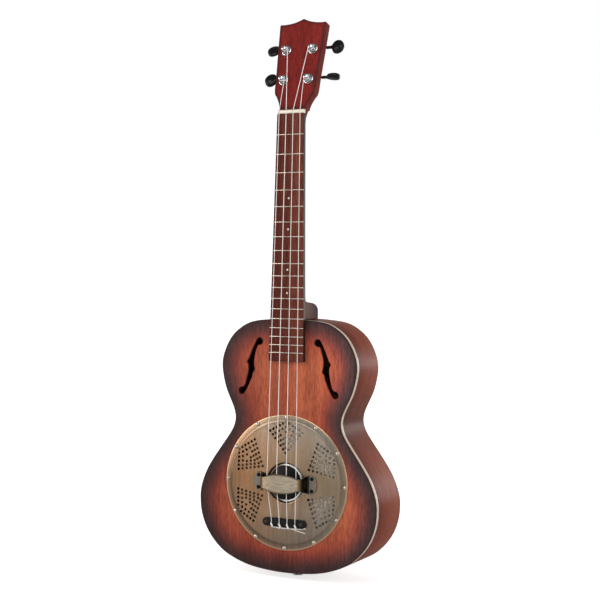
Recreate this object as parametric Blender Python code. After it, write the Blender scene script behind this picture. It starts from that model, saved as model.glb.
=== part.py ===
"""Tenor resonator ukulele: a wooden body with a spun cone under a pierced coverplate, four strings.

It stands upright, with its strings towards -Y and its headstock up. The origin is on the
fingerboard's surface, on the centre line, at the nut's lower edge. Lengths are in metres.
"""

from math import atan, cos, pi, radians, sin

import bmesh
import bpy
from mathutils import Vector

GAP = 0.0003  # clearance between pieces that touch

# Strings and frets
SCALE_LENGTH = 0.4318
FRETS = 18
BODY_FRET = 14
FRET_HEIGHT = 0.0009
FRET_WIDTH = 0.0016
STRING_RADIUS = 0.00042
NUT_SPACING = 0.0091
SADDLE_SPACING = 0.0127
TAIL_SPACING = 0.0103
STRING_Y_NUT = -0.0015
STRING_Y_SADDLE = -0.0062

# Fingerboard, nut and neck
NUT_WIDTH = 0.0345
BODY_FRET_WIDTH = 0.0434
FINGERBOARD_THICKNESS = 0.0060
FINGERBOARD_END = -0.2892
NUT_HEIGHT = 0.0045
NUT_TOP_Y = -0.0021
NECK_TOP_Y = 0.0060
NECK_EDGE_STEP = 0.0009
HEEL_Z = -0.2392
TENON = ((-0.0090, 0.0090), (0.0165, 0.0520), (-0.2620, -0.2300))
# Neck from the heel to the nut: height, depth behind the fingerboard, squareness of the section
NECK_STATIONS = [
    (HEEL_Z, 0.0600, 2.6),
    (-0.2310, 0.0600, 2.6),
    (-0.2272, 0.0590, 2.6),
    (-0.2242, 0.0560, 2.5),
    (-0.2220, 0.0510, 2.4),
    (-0.2207, 0.0440, 2.3),
    (-0.2199, 0.0320, 2.1),
    (-0.2192, 0.0220, 2.0),
    (-0.2170, 0.0172, 1.9),
    (-0.2090, 0.0162, 1.85),
    (-0.1980, 0.0157, 1.85),
    (-0.1200, 0.0146, 1.85),
    (-0.0400, 0.0134, 1.85),
    (-0.0140, 0.0131, 1.85),
]

# Headstock: its face leans back, and s is the distance up the face
HEADSTOCK_Y = 0.0040
HEADSTOCK_LEAN = atan(0.235)
HEADSTOCK_THICKNESS = 0.0112
HEADSTOCK_FOOT = 0.0066
HEADSTOCK_FLARE = [(0.0172, 0.0066), (0.0190, 0.0138), (0.0226, 0.0214), (0.0264, 0.0286)]
HEADSTOCK_SIDE = [(0.0273, 0.0500), (0.0289, 0.0800), (0.0304, 0.1128)]
HEADSTOCK_CROWN = [(0.0294, 0.1142), (0.0240, 0.1140), (0.0170, 0.1146), (0.0100, 0.1160), (0.0050, 0.1178)]
HEADSTOCK_PEAK = 0.1200

# Body: half outline (x, z) from the neck joint to the tail
BODY_TOP = -0.2395
BODY_TAIL = -0.5375
BODY_OUTLINE = [
    (0.0280, -0.2408),
    (0.0530, -0.2452),
    (0.0742, -0.2601),
    (0.0861, -0.2821),
    (0.0880, -0.3010),
    (0.0823, -0.3246),
    (0.0730, -0.3440),
    (0.0691, -0.3585),
    (0.0736, -0.3740),
    (0.0902, -0.3977),
    (0.1054, -0.4205),
    (0.1140, -0.4420),
    (0.1157, -0.4595),
    (0.1126, -0.4792),
    (0.1024, -0.5000),
    (0.0822, -0.5197),
    (0.0538, -0.5316),
    (0.0266, -0.5362),
]
OUTLINE_STEPS = 2
BODY_FRONT = 0.0060
DEPTH_AT_NECK = 0.0610
DEPTH_AT_TAIL = 0.0765
SOUNDBOARD_THICKNESS = 0.0025
BACK_THICKNESS = 0.0025
RIB_THICKNESS = 0.0020
BINDING_WIDTH = 0.0018
BINDING_DEPTH = 0.0062
LINING_WIDTH = 0.0050
LINING_DEPTH = 0.0070
BLOCKS = {"neck_block": (0.0250, -0.2700, -0.2438), "tail_block": (0.0260, -0.5338, -0.5165)}
BRACE_DEPTH = 0.0090
BRACES = {
    "soundboard_brace": (0.0580, -0.3500, -0.3440),
    "back_brace_upper": (0.0740, -0.3060, -0.2980),
    "back_brace_lower": (0.1050, -0.4640, -0.4560),
}

# f-holes: outer and inner edge (x, z) between the two eyes
F_TOP_EYE = (0.0381, -0.2668)
F_BOTTOM_EYE = (0.0612, -0.3263)
F_EYE_RADIUS = 0.0043
F_OUTER_EDGE = [(0.0424, -0.2655), (0.0450, -0.2705), (0.0482, -0.2770), (0.0507, -0.2835)]
F_OUTER_NICK = [(0.0530, -0.2884), (0.0550, -0.2914), (0.0535, -0.2944)]
F_OUTER_TAIL = [(0.0530, -0.2992), (0.0541, -0.3069), (0.0558, -0.3143), (0.0582, -0.3208)]
F_INNER_TAIL = [(0.0570, -0.3277), (0.0532, -0.3212), (0.0499, -0.3143), (0.0474, -0.3080)]
F_INNER_NICK = [(0.0467, -0.3044), (0.0438, -0.3004), (0.0449, -0.2964)]
F_INNER_EDGE = [(0.0453, -0.2900), (0.0444, -0.2830), (0.0424, -0.2763), (0.0402, -0.2714)]

# Resonator
SADDLE_Z = -SCALE_LENGTH + 0.0001
PLATE_RADIUS = 0.0794
PLATE_FRONT = 0.0042
PLATE_HOLE = 0.0235
SCREW_CIRCLE = 0.0768
COVER_SCREWS = 12
FLANGE_Y = 0.0049
PIERCED_ANGLES = (30, 90, 150, 210, 330)
KITE_APEX = 0.0350
KITE_CORNER = (0.0600, 0.0210)
KITE_PEAK = 0.0718
KITE_HOLES = ((7, 6), (5, 4), (3, 2))
PERFORATION_RADIUS = 0.0017
WELL_RADIUS = 0.0705
LEDGE_Y = 0.0235
BISCUIT_RADIUS = 0.0195
BISCUIT_FRONT = 0.0058
CROWN_Y = 0.0115
CONE_WALL = 0.0007
SADDLE_HALF_LENGTH = 0.0208
SADDLE_THICKNESS = 0.0026
FOOT_SCREW = (0.0349, 0.0072)
FOOT_FRONT = 0.0031
HANDREST_THICKNESS = 0.0010
HANDREST_PATH = [
    (0.0000, -0.0098, 0.0113),
    (0.0080, -0.0097, 0.0108),
    (0.0160, -0.0094, 0.0092),
    (0.0228, -0.0088, 0.0070),
    (0.0263, -0.0074, 0.0074),
    (0.0283, -0.0045, 0.0082),
    (0.0290, -0.0005, 0.0093),
    (0.0300, 0.0020, 0.0102),
    (0.0320, FOOT_FRONT, 0.0110),
    (0.0360, FOOT_FRONT, 0.0108),
    (0.0388, FOOT_FRONT, 0.0084),
    (0.0404, FOOT_FRONT, 0.0052),
    (0.0410, FOOT_FRONT, 0.0020),
]
TAILPIECE_Z = SADDLE_Z - 0.0468
TAILPIECE_HALF_LENGTH = 0.0282
TAILPIECE_HALF_WIDTH = 0.0050
TAILPIECE_FRONT = 0.0007

# Tuners: post places (x, s) on the headstock, then sizes from the face backwards
POSTS = {
    "tuner_1": (-0.0163, 0.0430),
    "tuner_2": (-0.0174, 0.0805),
    "tuner_3": (0.0174, 0.0805),
    "tuner_4": (0.0163, 0.0430),
}
BUTTON_TURN = {"tuner_1": 8, "tuner_2": 24, "tuner_3": 0, "tuner_4": 90}
WORM_OFFSET = 0.0070
WORM_DEPTH = 0.0146
SHAFT_RADIUS = 0.0013
SHAFT_END = 0.0170
POST_RADIUS = 0.0029
POST_WAIST = 0.0023
WINDING_DEPTH = -0.0053
BUTTON_SECTIONS = [
    (0.0000, 0.0024, 0.0024),
    (0.0008, 0.0030, 0.0025),
    (0.0016, 0.0050, 0.0026),
    (0.0030, 0.0070, 0.0027),
    (0.0052, 0.0083, 0.0028),
    (0.0080, 0.0087, 0.0031),
    (0.0108, 0.0081, 0.0034),
    (0.0132, 0.0063, 0.0034),
    (0.0148, 0.0038, 0.0028),
    (0.0155, 0.0014, 0.0014),
]

STRAP_BUTTON_Y = 0.0425


def clear_scene():
    for item in list(bpy.data.objects):
        bpy.data.objects.remove(item, do_unlink=True)


def material(name, colour, roughness, metallic=0.0):
    made = bpy.data.materials.get(name) or bpy.data.materials.new(name)
    made.use_nodes = True
    shader = made.node_tree.nodes["Principled BSDF"]
    shader.inputs["Base Color"].default_value = (*colour, 1.0)
    shader.inputs["Roughness"].default_value = roughness
    shader.inputs["Metallic"].default_value = metallic
    made.diffuse_color = (*colour, 1.0)
    return made


def top_wood():
    return material("sunburst_mahogany", (0.42, 0.12, 0.05), 0.4)


def body_wood():
    return material("satin_mahogany", (0.26, 0.09, 0.05), 0.45)


def neck_wood():
    return material("neck_mahogany", (0.22, 0.05, 0.03), 0.45)


def inner_wood():
    return material("bare_spruce", (0.62, 0.45, 0.27), 0.7)


def dark_wood():
    return material("fingerboard_rosewood", (0.16, 0.06, 0.04), 0.5)


def ebony():
    return material("ebonised_maple", (0.02, 0.015, 0.015), 0.5)


def bone():
    return material("cream_plastic", (0.85, 0.78, 0.62), 0.4)


def brass():
    return material("antique_brass", (0.45, 0.36, 0.22), 0.35, 1.0)


def chrome():
    return material("chrome", (0.75, 0.76, 0.78), 0.12, 1.0)


def spun_aluminium():
    return material("spun_aluminium", (0.78, 0.78, 0.78), 0.25, 1.0)


def black_plastic():
    return material("black_plastic", (0.02, 0.02, 0.02), 0.3)


def nylon():
    return material("clear_nylon", (0.85, 0.84, 0.80), 0.25)


def add_loft(mesh, sections, closed=False):
    """Skins a row of equal loops of points, with flat ends unless the row closes on itself."""
    rows = [[mesh.verts.new(point) for point in section] for section in sections]
    pairs = list(zip(rows, rows[1:]))
    if closed:
        pairs.append((rows[-1], rows[0]))
    faces = []
    for first, second in pairs:
        for i, corner in enumerate(first):
            j = (i + 1) % len(first)
            faces.append(mesh.faces.new((corner, first[j], second[j], second[i])))
    if not closed:
        faces.append(mesh.faces.new(rows[0]))
        faces.append(mesh.faces.new(rows[-1]))
    bmesh.ops.recalc_face_normals(mesh, faces=faces)


def mesh_of(name, bodies, closed=False):
    """A mesh of one or more lofts."""
    building = bmesh.new()
    for sections in bodies:
        add_loft(building, sections, closed)
    data = bpy.data.meshes.new(name)
    building.to_mesh(data)
    building.free()
    data.shade_smooth()
    data.set_sharp_from_angle(angle=radians(35))
    return data


def place(name, data, look, parent=None, location=(0, 0, 0), rotation=(0, 0, 0)):
    item = bpy.data.objects.new(name, data)
    bpy.context.scene.collection.objects.link(item)
    if not data.materials:
        data.materials.append(look)
    item.parent = parent
    item.location = location
    item.rotation_euler = rotation
    return item


def solid(name, sections, look, closed=False, **placing):
    return place(name, mesh_of(name, [sections], closed), look, **placing)


def tool(name, data, **placing):
    """A shape that only cuts or joins others."""
    item = place(name, data, body_wood(), **placing)
    item.hide_render = True
    item.display_type = "WIRE"
    return item


def helper(name, bodies, closed=False, **placing):
    return tool(name, mesh_of(name, bodies, closed), **placing)


def apply_shape(target, other, operation="DIFFERENCE"):
    change = target.modifiers.new(other.name, "BOOLEAN")
    change.operation = operation
    change.solver = "EXACT"
    change.object = other


def frame(name, location, rotation, parent=None):
    empty = bpy.data.objects.new(name, None)
    bpy.context.scene.collection.objects.link(empty)
    empty.parent = parent
    empty.location = location
    empty.rotation_euler = rotation
    return empty


def circle(radius, y, steps, centre=(0.0, 0.0), phase=0.0):
    """A loop of points about the Y direction."""
    angles = [phase + 2 * pi * i / steps for i in range(steps)]
    return [Vector((centre[0] + radius * cos(a), y, centre[1] + radius * sin(a))) for a in angles]


def turned(profile, steps):
    """Loops for a solid round piece, from (radius, y) pairs along its axis."""
    return [circle(radius, y, steps) for radius, y in profile]


def turned_ring(profile, steps):
    """Sections for a round piece with an open bore, whose profile is a closed loop of (radius, y)."""
    angles = [2 * pi * i / steps for i in range(steps)]
    return [[Vector((r * cos(a), y, r * sin(a))) for r, y in profile] for a in angles]


def rod(radius, start, end, steps, centre=(0.0, 0.0)):
    """A straight bar about the Y direction, its corners half a step round from those of a turned piece."""
    return [circle(radius, y, steps, centre, pi / steps) for y in (start, end)]


def box(x_range, y_range, z_range):
    return [[Vector((x, y, z)) for x, z in corners(x_range, z_range)] for y in y_range]


def corners(first, second):
    return [(first[0], second[0]), (first[1], second[0]), (first[1], second[1]), (first[0], second[1])]


def prism(outline, front, back):
    """Sections between two surfaces, each given as y at a height z."""
    return [[Vector((x, surface(z), z)) for x, z in outline] for surface in (front, back)]


def flat(y):
    return lambda z: y


def curve_point(a, b, c, d, t):
    """A point between b and c on the smooth curve through a, b, c and d."""
    return 0.5 * (2 * b + (c - a) * t + (2 * a - 5 * b + 4 * c - d) * t**2 + (3 * b - a - 3 * c + d) * t**3)


def closed_curve(stations, steps):
    points = [Vector(station) for station in stations]
    count = len(points)
    smooth = []
    for i in range(count):
        a, b, c, d = (points[(i + k) % count] for k in (-1, 0, 1, 2))
        smooth += [curve_point(a, b, c, d, step / steps) for step in range(steps)]
    return smooth


def body_outline(moved_in=0.0):
    """The body's outline, clockwise from the neck joint, moved inwards by a distance."""
    left = [(-x, z) for x, z in reversed(BODY_OUTLINE)]
    stations = [(0.0, BODY_TOP), *BODY_OUTLINE, (0.0, BODY_TAIL), *left]
    points = closed_curve(stations, OUTLINE_STEPS)
    inset = []
    for i, point in enumerate(points):
        along = (points[(i + 1) % len(points)] - points[i - 1]).normalized()
        inset.append(point + moved_in * Vector((along.y, -along.x)))
    return inset


def back_y(z):
    """The back's outer surface, which leans away from the soundboard towards the tail."""
    share = (BODY_TOP - z) / (BODY_TOP - BODY_TAIL)
    return BODY_FRONT + DEPTH_AT_NECK + share * (DEPTH_AT_TAIL - DEPTH_AT_NECK)


def back_inside(z):
    return back_y(z) - BACK_THICKNESS - GAP


def soundboard_inside():
    return BODY_FRONT + SOUNDBOARD_THICKNESS + GAP


def band(outer, inner, front, back):
    """Four-cornered sections along two parallel outlines."""
    sections = []
    for out, into in zip(outer, inner):
        edges = ((out, front), (out, back), (into, back), (into, front))
        sections.append([Vector((p.x, surface(p.y), p.y)) for p, surface in edges])
    return sections


def f_hole(side):
    """The f-hole's outline on one side of the centre line."""
    top_turn = [radians(a) for a in (60, 100, 140, 180, 220, 260)]
    bottom_turn = [radians(a) for a in (60, 15, -30, -75, -120)]
    points = list(F_OUTER_EDGE + F_OUTER_NICK + F_OUTER_TAIL)
    points += eye(F_BOTTOM_EYE, bottom_turn)
    points += F_INNER_TAIL + F_INNER_NICK + F_INNER_EDGE
    points += eye(F_TOP_EYE, reversed(top_turn))
    return [(side * x, z) for x, z in points]


def eye(centre, angles):
    return [(centre[0] + F_EYE_RADIUS * cos(a), centre[1] + F_EYE_RADIUS * sin(a)) for a in angles]


def cover_screw_places():
    angles = [pi / 2 + 2 * pi * i / COVER_SCREWS for i in range(COVER_SCREWS)]
    return [(SCREW_CIRCLE * cos(a), SADDLE_Z + SCREW_CIRCLE * sin(a)) for a in angles]


def kite_ring(inner_holes, outer_holes, shrink):
    """Places of the holes round one kite, as (outwards, sideways) from the plate's centre."""
    middle = Vector(((KITE_APEX + KITE_PEAK) / 2, 0.0))
    apex, peak = Vector((KITE_APEX, 0.0)), Vector((KITE_PEAK, 0.0))
    places = []
    for side in (1, -1):
        corner = Vector((KITE_CORNER[0], side * KITE_CORNER[1]))
        runs = ((apex, corner, inner_holes), (peak, corner, outer_holes))
        for start, end, holes in runs:
            places += [start.lerp(end, i / (holes - 1)) for i in range(holes)]
    shrunk = {(round(p.x, 6), round(p.y, 6)): middle.lerp(p, shrink) for p in places}
    return list(shrunk.values())


def perforations():
    """Hole centres (x, z) of every pierced group, each a nest of ever smaller kites."""
    group = [Vector(((KITE_APEX + KITE_PEAK) / 2, 0.0))]
    most = KITE_HOLES[0][0]
    for inner, outer in KITE_HOLES:
        group += kite_ring(inner, outer, (inner - 1) / (most - 1))
    places = []
    for degrees in PIERCED_ANGLES:
        a = radians(degrees)
        for p in group:
            places.append((p.x * cos(a) - p.y * sin(a), SADDLE_Z + p.x * sin(a) + p.y * cos(a)))
    return places


def make_soundboard(screw_holes):
    outline = body_outline(BINDING_WIDTH + GAP)
    sections = prism(outline, flat(BODY_FRONT), flat(BODY_FRONT + SOUNDBOARD_THICKNESS))
    board = solid("soundboard", sections, top_wood())
    well = helper("well_cutter", [rod(WELL_RADIUS, 0.0, 0.02, 48)], location=(0, 0, SADDLE_Z))
    openings = [prism(f_hole(side), flat(0.0), flat(0.02)) for side in (1, -1)]
    apply_shape(board, well)
    apply_shape(board, helper("f_hole_cutter", openings))
    apply_shape(board, screw_holes)


def make_binding():
    sections = band(
        body_outline(), body_outline(BINDING_WIDTH), flat(BODY_FRONT), flat(BODY_FRONT + BINDING_DEPTH)
    )
    solid("binding", sections, bone(), closed=True)


def make_ribs(strap_hole):
    outer, inner = body_outline(), body_outline(RIB_THICKNESS)
    front = flat(BODY_FRONT + BINDING_DEPTH + GAP)
    half = len(outer) // 2
    sections = band(outer, inner, front, back_inside)[: half + 1]
    for point in sections[0]:
        point.x = TENON[0][1] + GAP
    for point in sections[half]:
        point.x = GAP / 2
    mirrored = [[Vector((-p.x, p.y, p.z)) for p in section] for section in sections]
    for name, shape in (("rib_treble", sections), ("rib_bass", mirrored)):
        apply_shape(solid(name, shape, body_wood()), strap_hole)


def make_back():
    solid("back", prism(body_outline(), lambda z: back_y(z) - BACK_THICKNESS, back_y), body_wood())


def lining_sections(spare=0.0):
    """The front and the back lining, made wider by the spare."""
    near, far = RIB_THICKNESS + GAP, RIB_THICKNESS + GAP + LINING_WIDTH
    outer, inner = body_outline(near - spare), body_outline(far + spare)
    start = soundboard_inside()
    front = band(outer, inner, flat(start - spare), flat(start + LINING_DEPTH + spare))
    back = band(
        outer, inner, lambda z: back_inside(z) - LINING_DEPTH - spare, lambda z: back_inside(z) + spare
    )
    return front, back


def make_linings_and_blocks(strap_hole):
    front, back = lining_sections()
    solid("lining_front", front, inner_wood(), closed=True)
    solid("lining_back", back, inner_wood(), closed=True)
    cutter = helper("lining_cutter", lining_sections(GAP), True)
    tenon = [(low - GAP, high + GAP) for low, high in TENON]
    mortise = helper("mortise_cutter", [box(*tenon)])
    for name, hole in (("neck_block", mortise), ("tail_block", strap_hole)):
        half_width, low, high = BLOCKS[name]
        outline = corners((-half_width, half_width), (low, high))
        block = solid(name, prism(outline, flat(soundboard_inside()), back_inside), inner_wood())
        apply_shape(block, cutter)
        apply_shape(block, hole)


def make_braces():
    """A brace above the resonator under the soundboard, and two across the back."""
    for name, (half_length, low, high) in BRACES.items():
        front, back = (lambda z: back_inside(z) - BRACE_DEPTH), back_inside
        if name == "soundboard_brace":
            front, back = flat(soundboard_inside()), flat(soundboard_inside() + BRACE_DEPTH)
        outline = corners((-half_length, half_length), (low, high))
        solid(name, prism(outline, front, back), inner_wood())


def make_resonator(screw_holes):
    start = soundboard_inside()
    well = [
        (WELL_RADIUS, start),
        (0.0795, start),
        (0.0795, LEDGE_Y + 0.0030),
        (0.0645, LEDGE_Y + 0.0030),
        (0.0645, LEDGE_Y),
        (WELL_RADIUS, LEDGE_Y),
    ]
    ring = solid("soundwell", turned_ring(well, 36), inner_wood(), closed=True, location=(0, 0, SADDLE_Z))
    apply_shape(ring, screw_holes)
    rim_y = LEDGE_Y - GAP - CONE_WALL
    front = [(0.0020, CROWN_Y), (0.0206, CROWN_Y), (0.0214, CROWN_Y - 0.0004), (0.0223, CROWN_Y + 0.0006)]
    front += [(0.0240, CROWN_Y + 0.0030), (0.0450, 0.0188), (0.0615, rim_y), (0.0700, rim_y)]
    back = [(r, y + CONE_WALL) for r, y in reversed(front)]
    solid("cone", turned_ring(front + back, 28), spun_aluminium(), closed=True, location=(0, 0, SADDLE_Z))
    bevel = 0.0008
    disc = [
        (BISCUIT_RADIUS - bevel, BISCUIT_FRONT),
        (BISCUIT_RADIUS, BISCUIT_FRONT + bevel),
        (BISCUIT_RADIUS, CROWN_Y - GAP),
    ]
    biscuit = solid("biscuit", turned(disc, 24), ebony(), location=(0, 0, SADDLE_Z))
    half = SADDLE_THICKNESS / 2
    groove_floor = BISCUIT_FRONT + 0.0022
    slot = box((-0.03, 0.03), (0.0, groove_floor), (SADDLE_Z - half - GAP, SADDLE_Z + half + GAP))
    apply_shape(biscuit, helper("saddle_slot", [slot]))
    board = corners((-SADDLE_HALF_LENGTH, SADDLE_HALF_LENGTH), (SADDLE_Z - half, SADDLE_Z + half))
    saddle = solid("saddle", prism(board, flat(STRING_Y_SADDLE - 0.0007), flat(groove_floor - GAP)), inner_wood())
    apply_shape(saddle, string_slots("saddle_string_slots", SADDLE_SPACING, STRING_Y_SADDLE, SADDLE_Z))


def string_slots(name, spacing, string_y, z):
    """A cutter for four slots that clear the strings."""
    half = STRING_RADIUS + GAP
    floor = string_y + half + 0.0001
    slots = []
    for k in range(4):
        x = (k - 1.5) * spacing
        slots.append(box((x - half, x + half), (string_y - 0.01, floor), (z - 0.01, z + 0.01)))
    return helper(name, slots)


def make_coverplate(screw_holes):
    profile = [
        (PLATE_HOLE, PLATE_FRONT + 0.0002),
        (PLATE_HOLE + 0.0008, PLATE_FRONT),
        (0.0712, PLATE_FRONT),
        (0.0738, FLANGE_Y),
        (PLATE_RADIUS - 0.0009, FLANGE_Y),
        (PLATE_RADIUS, FLANGE_Y + 0.0004),
        (PLATE_RADIUS, BODY_FRONT - GAP),
        (0.0733, BODY_FRONT - GAP),
        (0.0708, PLATE_FRONT + 0.0008),
        (PLATE_HOLE, PLATE_FRONT + 0.0009),
    ]
    plate = solid("coverplate", turned_ring(profile, 40), brass(), closed=True, location=(0, 0, SADDLE_Z))
    holes = [rod(PERFORATION_RADIUS, 0.0, 0.01, 4, centre) for centre in perforations()]
    apply_shape(plate, helper("perforation_cutter", holes))
    apply_shape(plate, screw_holes)


def make_cover_screws():
    profile = [
        (0.0009, -0.0015),
        (0.0019, -0.0012),
        (0.0023, -0.0006),
        (0.0023, -GAP),
        (0.0011, -GAP),
        (0.0011, 0.0085),
    ]
    data = mesh_of("cover_screw", [turned(profile, 6)])
    for i, (x, z) in enumerate(cover_screw_places()):
        place(f"coverplate_screw_{i + 1:02d}", data, chrome(), location=(x, FLANGE_Y, z))


def make_handrest():
    """A bent strip: a barrel-shaped crown over the strings, two legs and two round feet."""
    left = [(-x, y, half_width) for x, y, half_width in reversed(HANDREST_PATH[1:])]
    path = left + HANDREST_PATH
    sections = []
    for i, (x, y, half_width) in enumerate(path):
        before, after = path[max(i - 1, 0)], path[min(i + 1, len(path) - 1)]
        along = Vector((after[0] - before[0], after[1] - before[1])).normalized()
        outer = Vector((x, y))
        inner = outer + HANDREST_THICKNESS * Vector((-along.y, along.x))
        edges = ((outer, 1), (outer, -1), (inner, -1), (inner, 1))
        sections.append([Vector((p.x, p.y, SADDLE_Z + side * half_width)) for p, side in edges])
    rest = solid("handrest", sections, brass())
    x, z = FOOT_SCREW
    holes = [rod(0.0012, 0.0, 0.01, 8, (side * x, SADDLE_Z + end * z)) for side in (1, -1) for end in (1, -1)]
    apply_shape(rest, helper("handrest_screw_holes", holes))


def stadium(half_length, half_width, y, z, steps):
    """A loop with straight sides along X and round ends."""
    loop = []
    for side in (1, -1):
        centre = side * (half_length - half_width)
        for i in range(steps + 1):
            a = side * pi / 2 - pi * i / steps
            loop.append(Vector((centre + half_width * cos(a), y, z + half_width * sin(a))))
    return loop


def make_tailpiece():
    front = TAILPIECE_FRONT
    levels = [(0.0018, front), (0.0007, front + 0.0004), (0.0, front + 0.0014), (0.0, PLATE_FRONT - GAP)]
    sections = [
        stadium(TAILPIECE_HALF_LENGTH - inset, TAILPIECE_HALF_WIDTH - inset, y, TAILPIECE_Z, 6)
        for inset, y in levels
    ]
    bar = solid("tailpiece", sections, black_plastic())
    holes = [rod(0.0012, -0.005, 0.01, 8, (side * 0.0228, TAILPIECE_Z)) for side in (1, -1)]
    apply_shape(bar, helper("tailpiece_screw_holes", holes))


def board_half_width(z):
    """Half the fingerboard's width at a height."""
    joint = fret_z(BODY_FRET)
    return (NUT_WIDTH + (BODY_FRET_WIDTH - NUT_WIDTH) * z / joint) / 2


def fret_z(number):
    return -SCALE_LENGTH * (1 - 2 ** (-number / 12))


def across(profile, half_width):
    """Two loops, one on each side, of a profile of (y, z) whose half width depends on z."""
    return [[Vector((side * half_width(z), y, z)) for y, z in profile] for side in (-1, 1)]


def make_fingerboard():
    """The board with its frets, which stand on it as low rounded ridges."""
    profile = [(FINGERBOARD_THICKNESS - GAP, 0.0), (0.0, 0.0)]
    half = FRET_WIDTH / 2
    for number in range(1, FRETS + 1):
        z = fret_z(number)
        ridge = ((0.0, half), (-FRET_HEIGHT, half * 0.45), (-FRET_HEIGHT, -half * 0.45), (0.0, -half))
        profile += [(y, z + rise) for y, rise in ridge]
    profile += [(0.0, FINGERBOARD_END), (FINGERBOARD_THICKNESS - GAP, FINGERBOARD_END)]
    solid("fingerboard", across(profile, board_half_width), dark_wood())


def make_nut():
    top = NUT_TOP_Y
    profile = [
        (0.0050, GAP),
        (top + 0.0009, GAP),
        (top + 0.0002, 0.0010),
        (top, 0.0022),
        (top + 0.0008, NUT_HEIGHT - 0.0008),
        (top + 0.0019, NUT_HEIGHT),
        (0.0050, NUT_HEIGHT),
    ]
    nut = solid("nut", across(profile, lambda z: NUT_WIDTH / 2), bone())
    apply_shape(nut, string_slots("nut_string_slots", NUT_SPACING, STRING_Y_NUT, 0.0))


def neck_section(z, depth, squareness, lean=0.0, half_width=None):
    """A flat-topped cross-section. A lean tilts it with the headstock's foot."""
    half_width = half_width or board_half_width(z) - NECK_EDGE_STEP
    steps = 12
    loop = []
    for i in range(steps + 1):
        a = pi * i / steps
        x = half_width * abs(cos(a)) ** (2 / squareness) * (1 if cos(a) >= 0 else -1)
        down = depth * sin(a) ** (2 / squareness) if 0 < i < steps else 0.0
        if lean:
            y = HEADSTOCK_Y + HEADSTOCK_FOOT * sin(lean) + down * cos(lean)
            loop.append(Vector((x, y, z - down * sin(lean))))
        else:
            loop.append(Vector((x, NECK_TOP_Y + down, z)))
    return loop


def make_neck():
    sections = [neck_section(*station) for station in NECK_STATIONS]
    foot_z = (HEADSTOCK_FOOT - GAP) * cos(HEADSTOCK_LEAN)
    sections.append(neck_section(-0.0030, 0.0125, 2.1, 0.0, NUT_WIDTH / 2 - 0.0006))
    sections.append(
        neck_section(foot_z, HEADSTOCK_THICKNESS - GAP, 7.0, HEADSTOCK_LEAN, NUT_WIDTH / 2 - 0.0001)
    )
    neck = solid("neck", sections, neck_wood())
    apply_shape(neck, helper("tenon", [box(*TENON)]), "UNION")


def headstock_outline():
    right = HEADSTOCK_FLARE + HEADSTOCK_SIDE + HEADSTOCK_CROWN
    left = [(-x, s) for x, s in reversed(right)]
    return right + [(0.0, HEADSTOCK_PEAK)] + left


def make_headstock(leaning):
    sections = prism(headstock_outline(), flat(0.0), flat(HEADSTOCK_THICKNESS))
    plate = solid("headstock", sections, neck_wood(), parent=leaning)
    holes = [rod(0.0044, -0.01, 0.02, 12, centre) for centre in POSTS.values()]
    apply_shape(plate, helper("bushing_holes", holes, parent=leaning))


def bushing_mesh():
    """A threaded sleeve with a nut and a washer on the face."""
    bore = POST_RADIUS + GAP
    profile = [
        (bore, -0.0032),
        (0.0043, -0.0032),
        (0.0048, -0.0028),
        (0.0048, -0.0012),
        (0.0062, -0.0010),
        (0.0062, -GAP),
        (0.0040, -GAP),
        (0.0040, 0.0100),
        (bore, 0.0100),
    ]
    return mesh_of("bushing", [turned_ring(profile, 10)], True)


def post_mesh():
    """The string post, with its worm wheel at the back."""
    wheel = (HEADSTOCK_THICKNESS + 0.0019, HEADSTOCK_THICKNESS + 0.0049)
    profile = [
        (0.0020, -0.0092),
        (POST_RADIUS, -0.0086),
        (POST_RADIUS, -0.0072),
        (POST_WAIST, WINDING_DEPTH - 0.0007),
        (POST_WAIST, WINDING_DEPTH + 0.0007),
        (POST_RADIUS, -0.0036),
        (POST_RADIUS, wheel[0]),
        (0.0048, wheel[0]),
        (0.0048, wheel[1]),
        (0.0020, wheel[1]),
    ]
    return mesh_of("post", [turned(profile, 10)])


def shaft_mesh():
    """The worm and its shaft, along the axis from the inner end to the button."""
    profile = [
        (SHAFT_RADIUS, -0.0070),
        (SHAFT_RADIUS, -0.0048),
        (0.0019, -0.0048),
        (0.0019, 0.0048),
        (SHAFT_RADIUS, 0.0048),
        (SHAFT_RADIUS, SHAFT_END),
    ]
    return mesh_of("worm_shaft", [turned(profile, 8)])


def button_mesh():
    """An oval button with a collar, along the shaft's axis."""
    steps = 12
    sections = []
    for along, tall, thick in BUTTON_SECTIONS:
        angles = [2 * pi * i / steps for i in range(steps)]
        sections.append([Vector((thick * cos(a), along, tall * sin(a))) for a in angles])
    return mesh_of("button", [sections])


def base_plate_parts():
    """The plate's own loops, its two bearing ears and its holes."""
    back = HEADSTOCK_THICKNESS + GAP
    plate = prism(corners((-0.0066, 0.0066), (-0.0095, 0.0130)), flat(back), flat(back + 0.0012))
    ears = [
        box((side * 0.0058 - 0.0006, side * 0.0058 + 0.0006), (back + 0.0006, 0.0172), (0.0040, 0.0100))
        for side in (1, -1)
    ]
    return plate, ears


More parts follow.
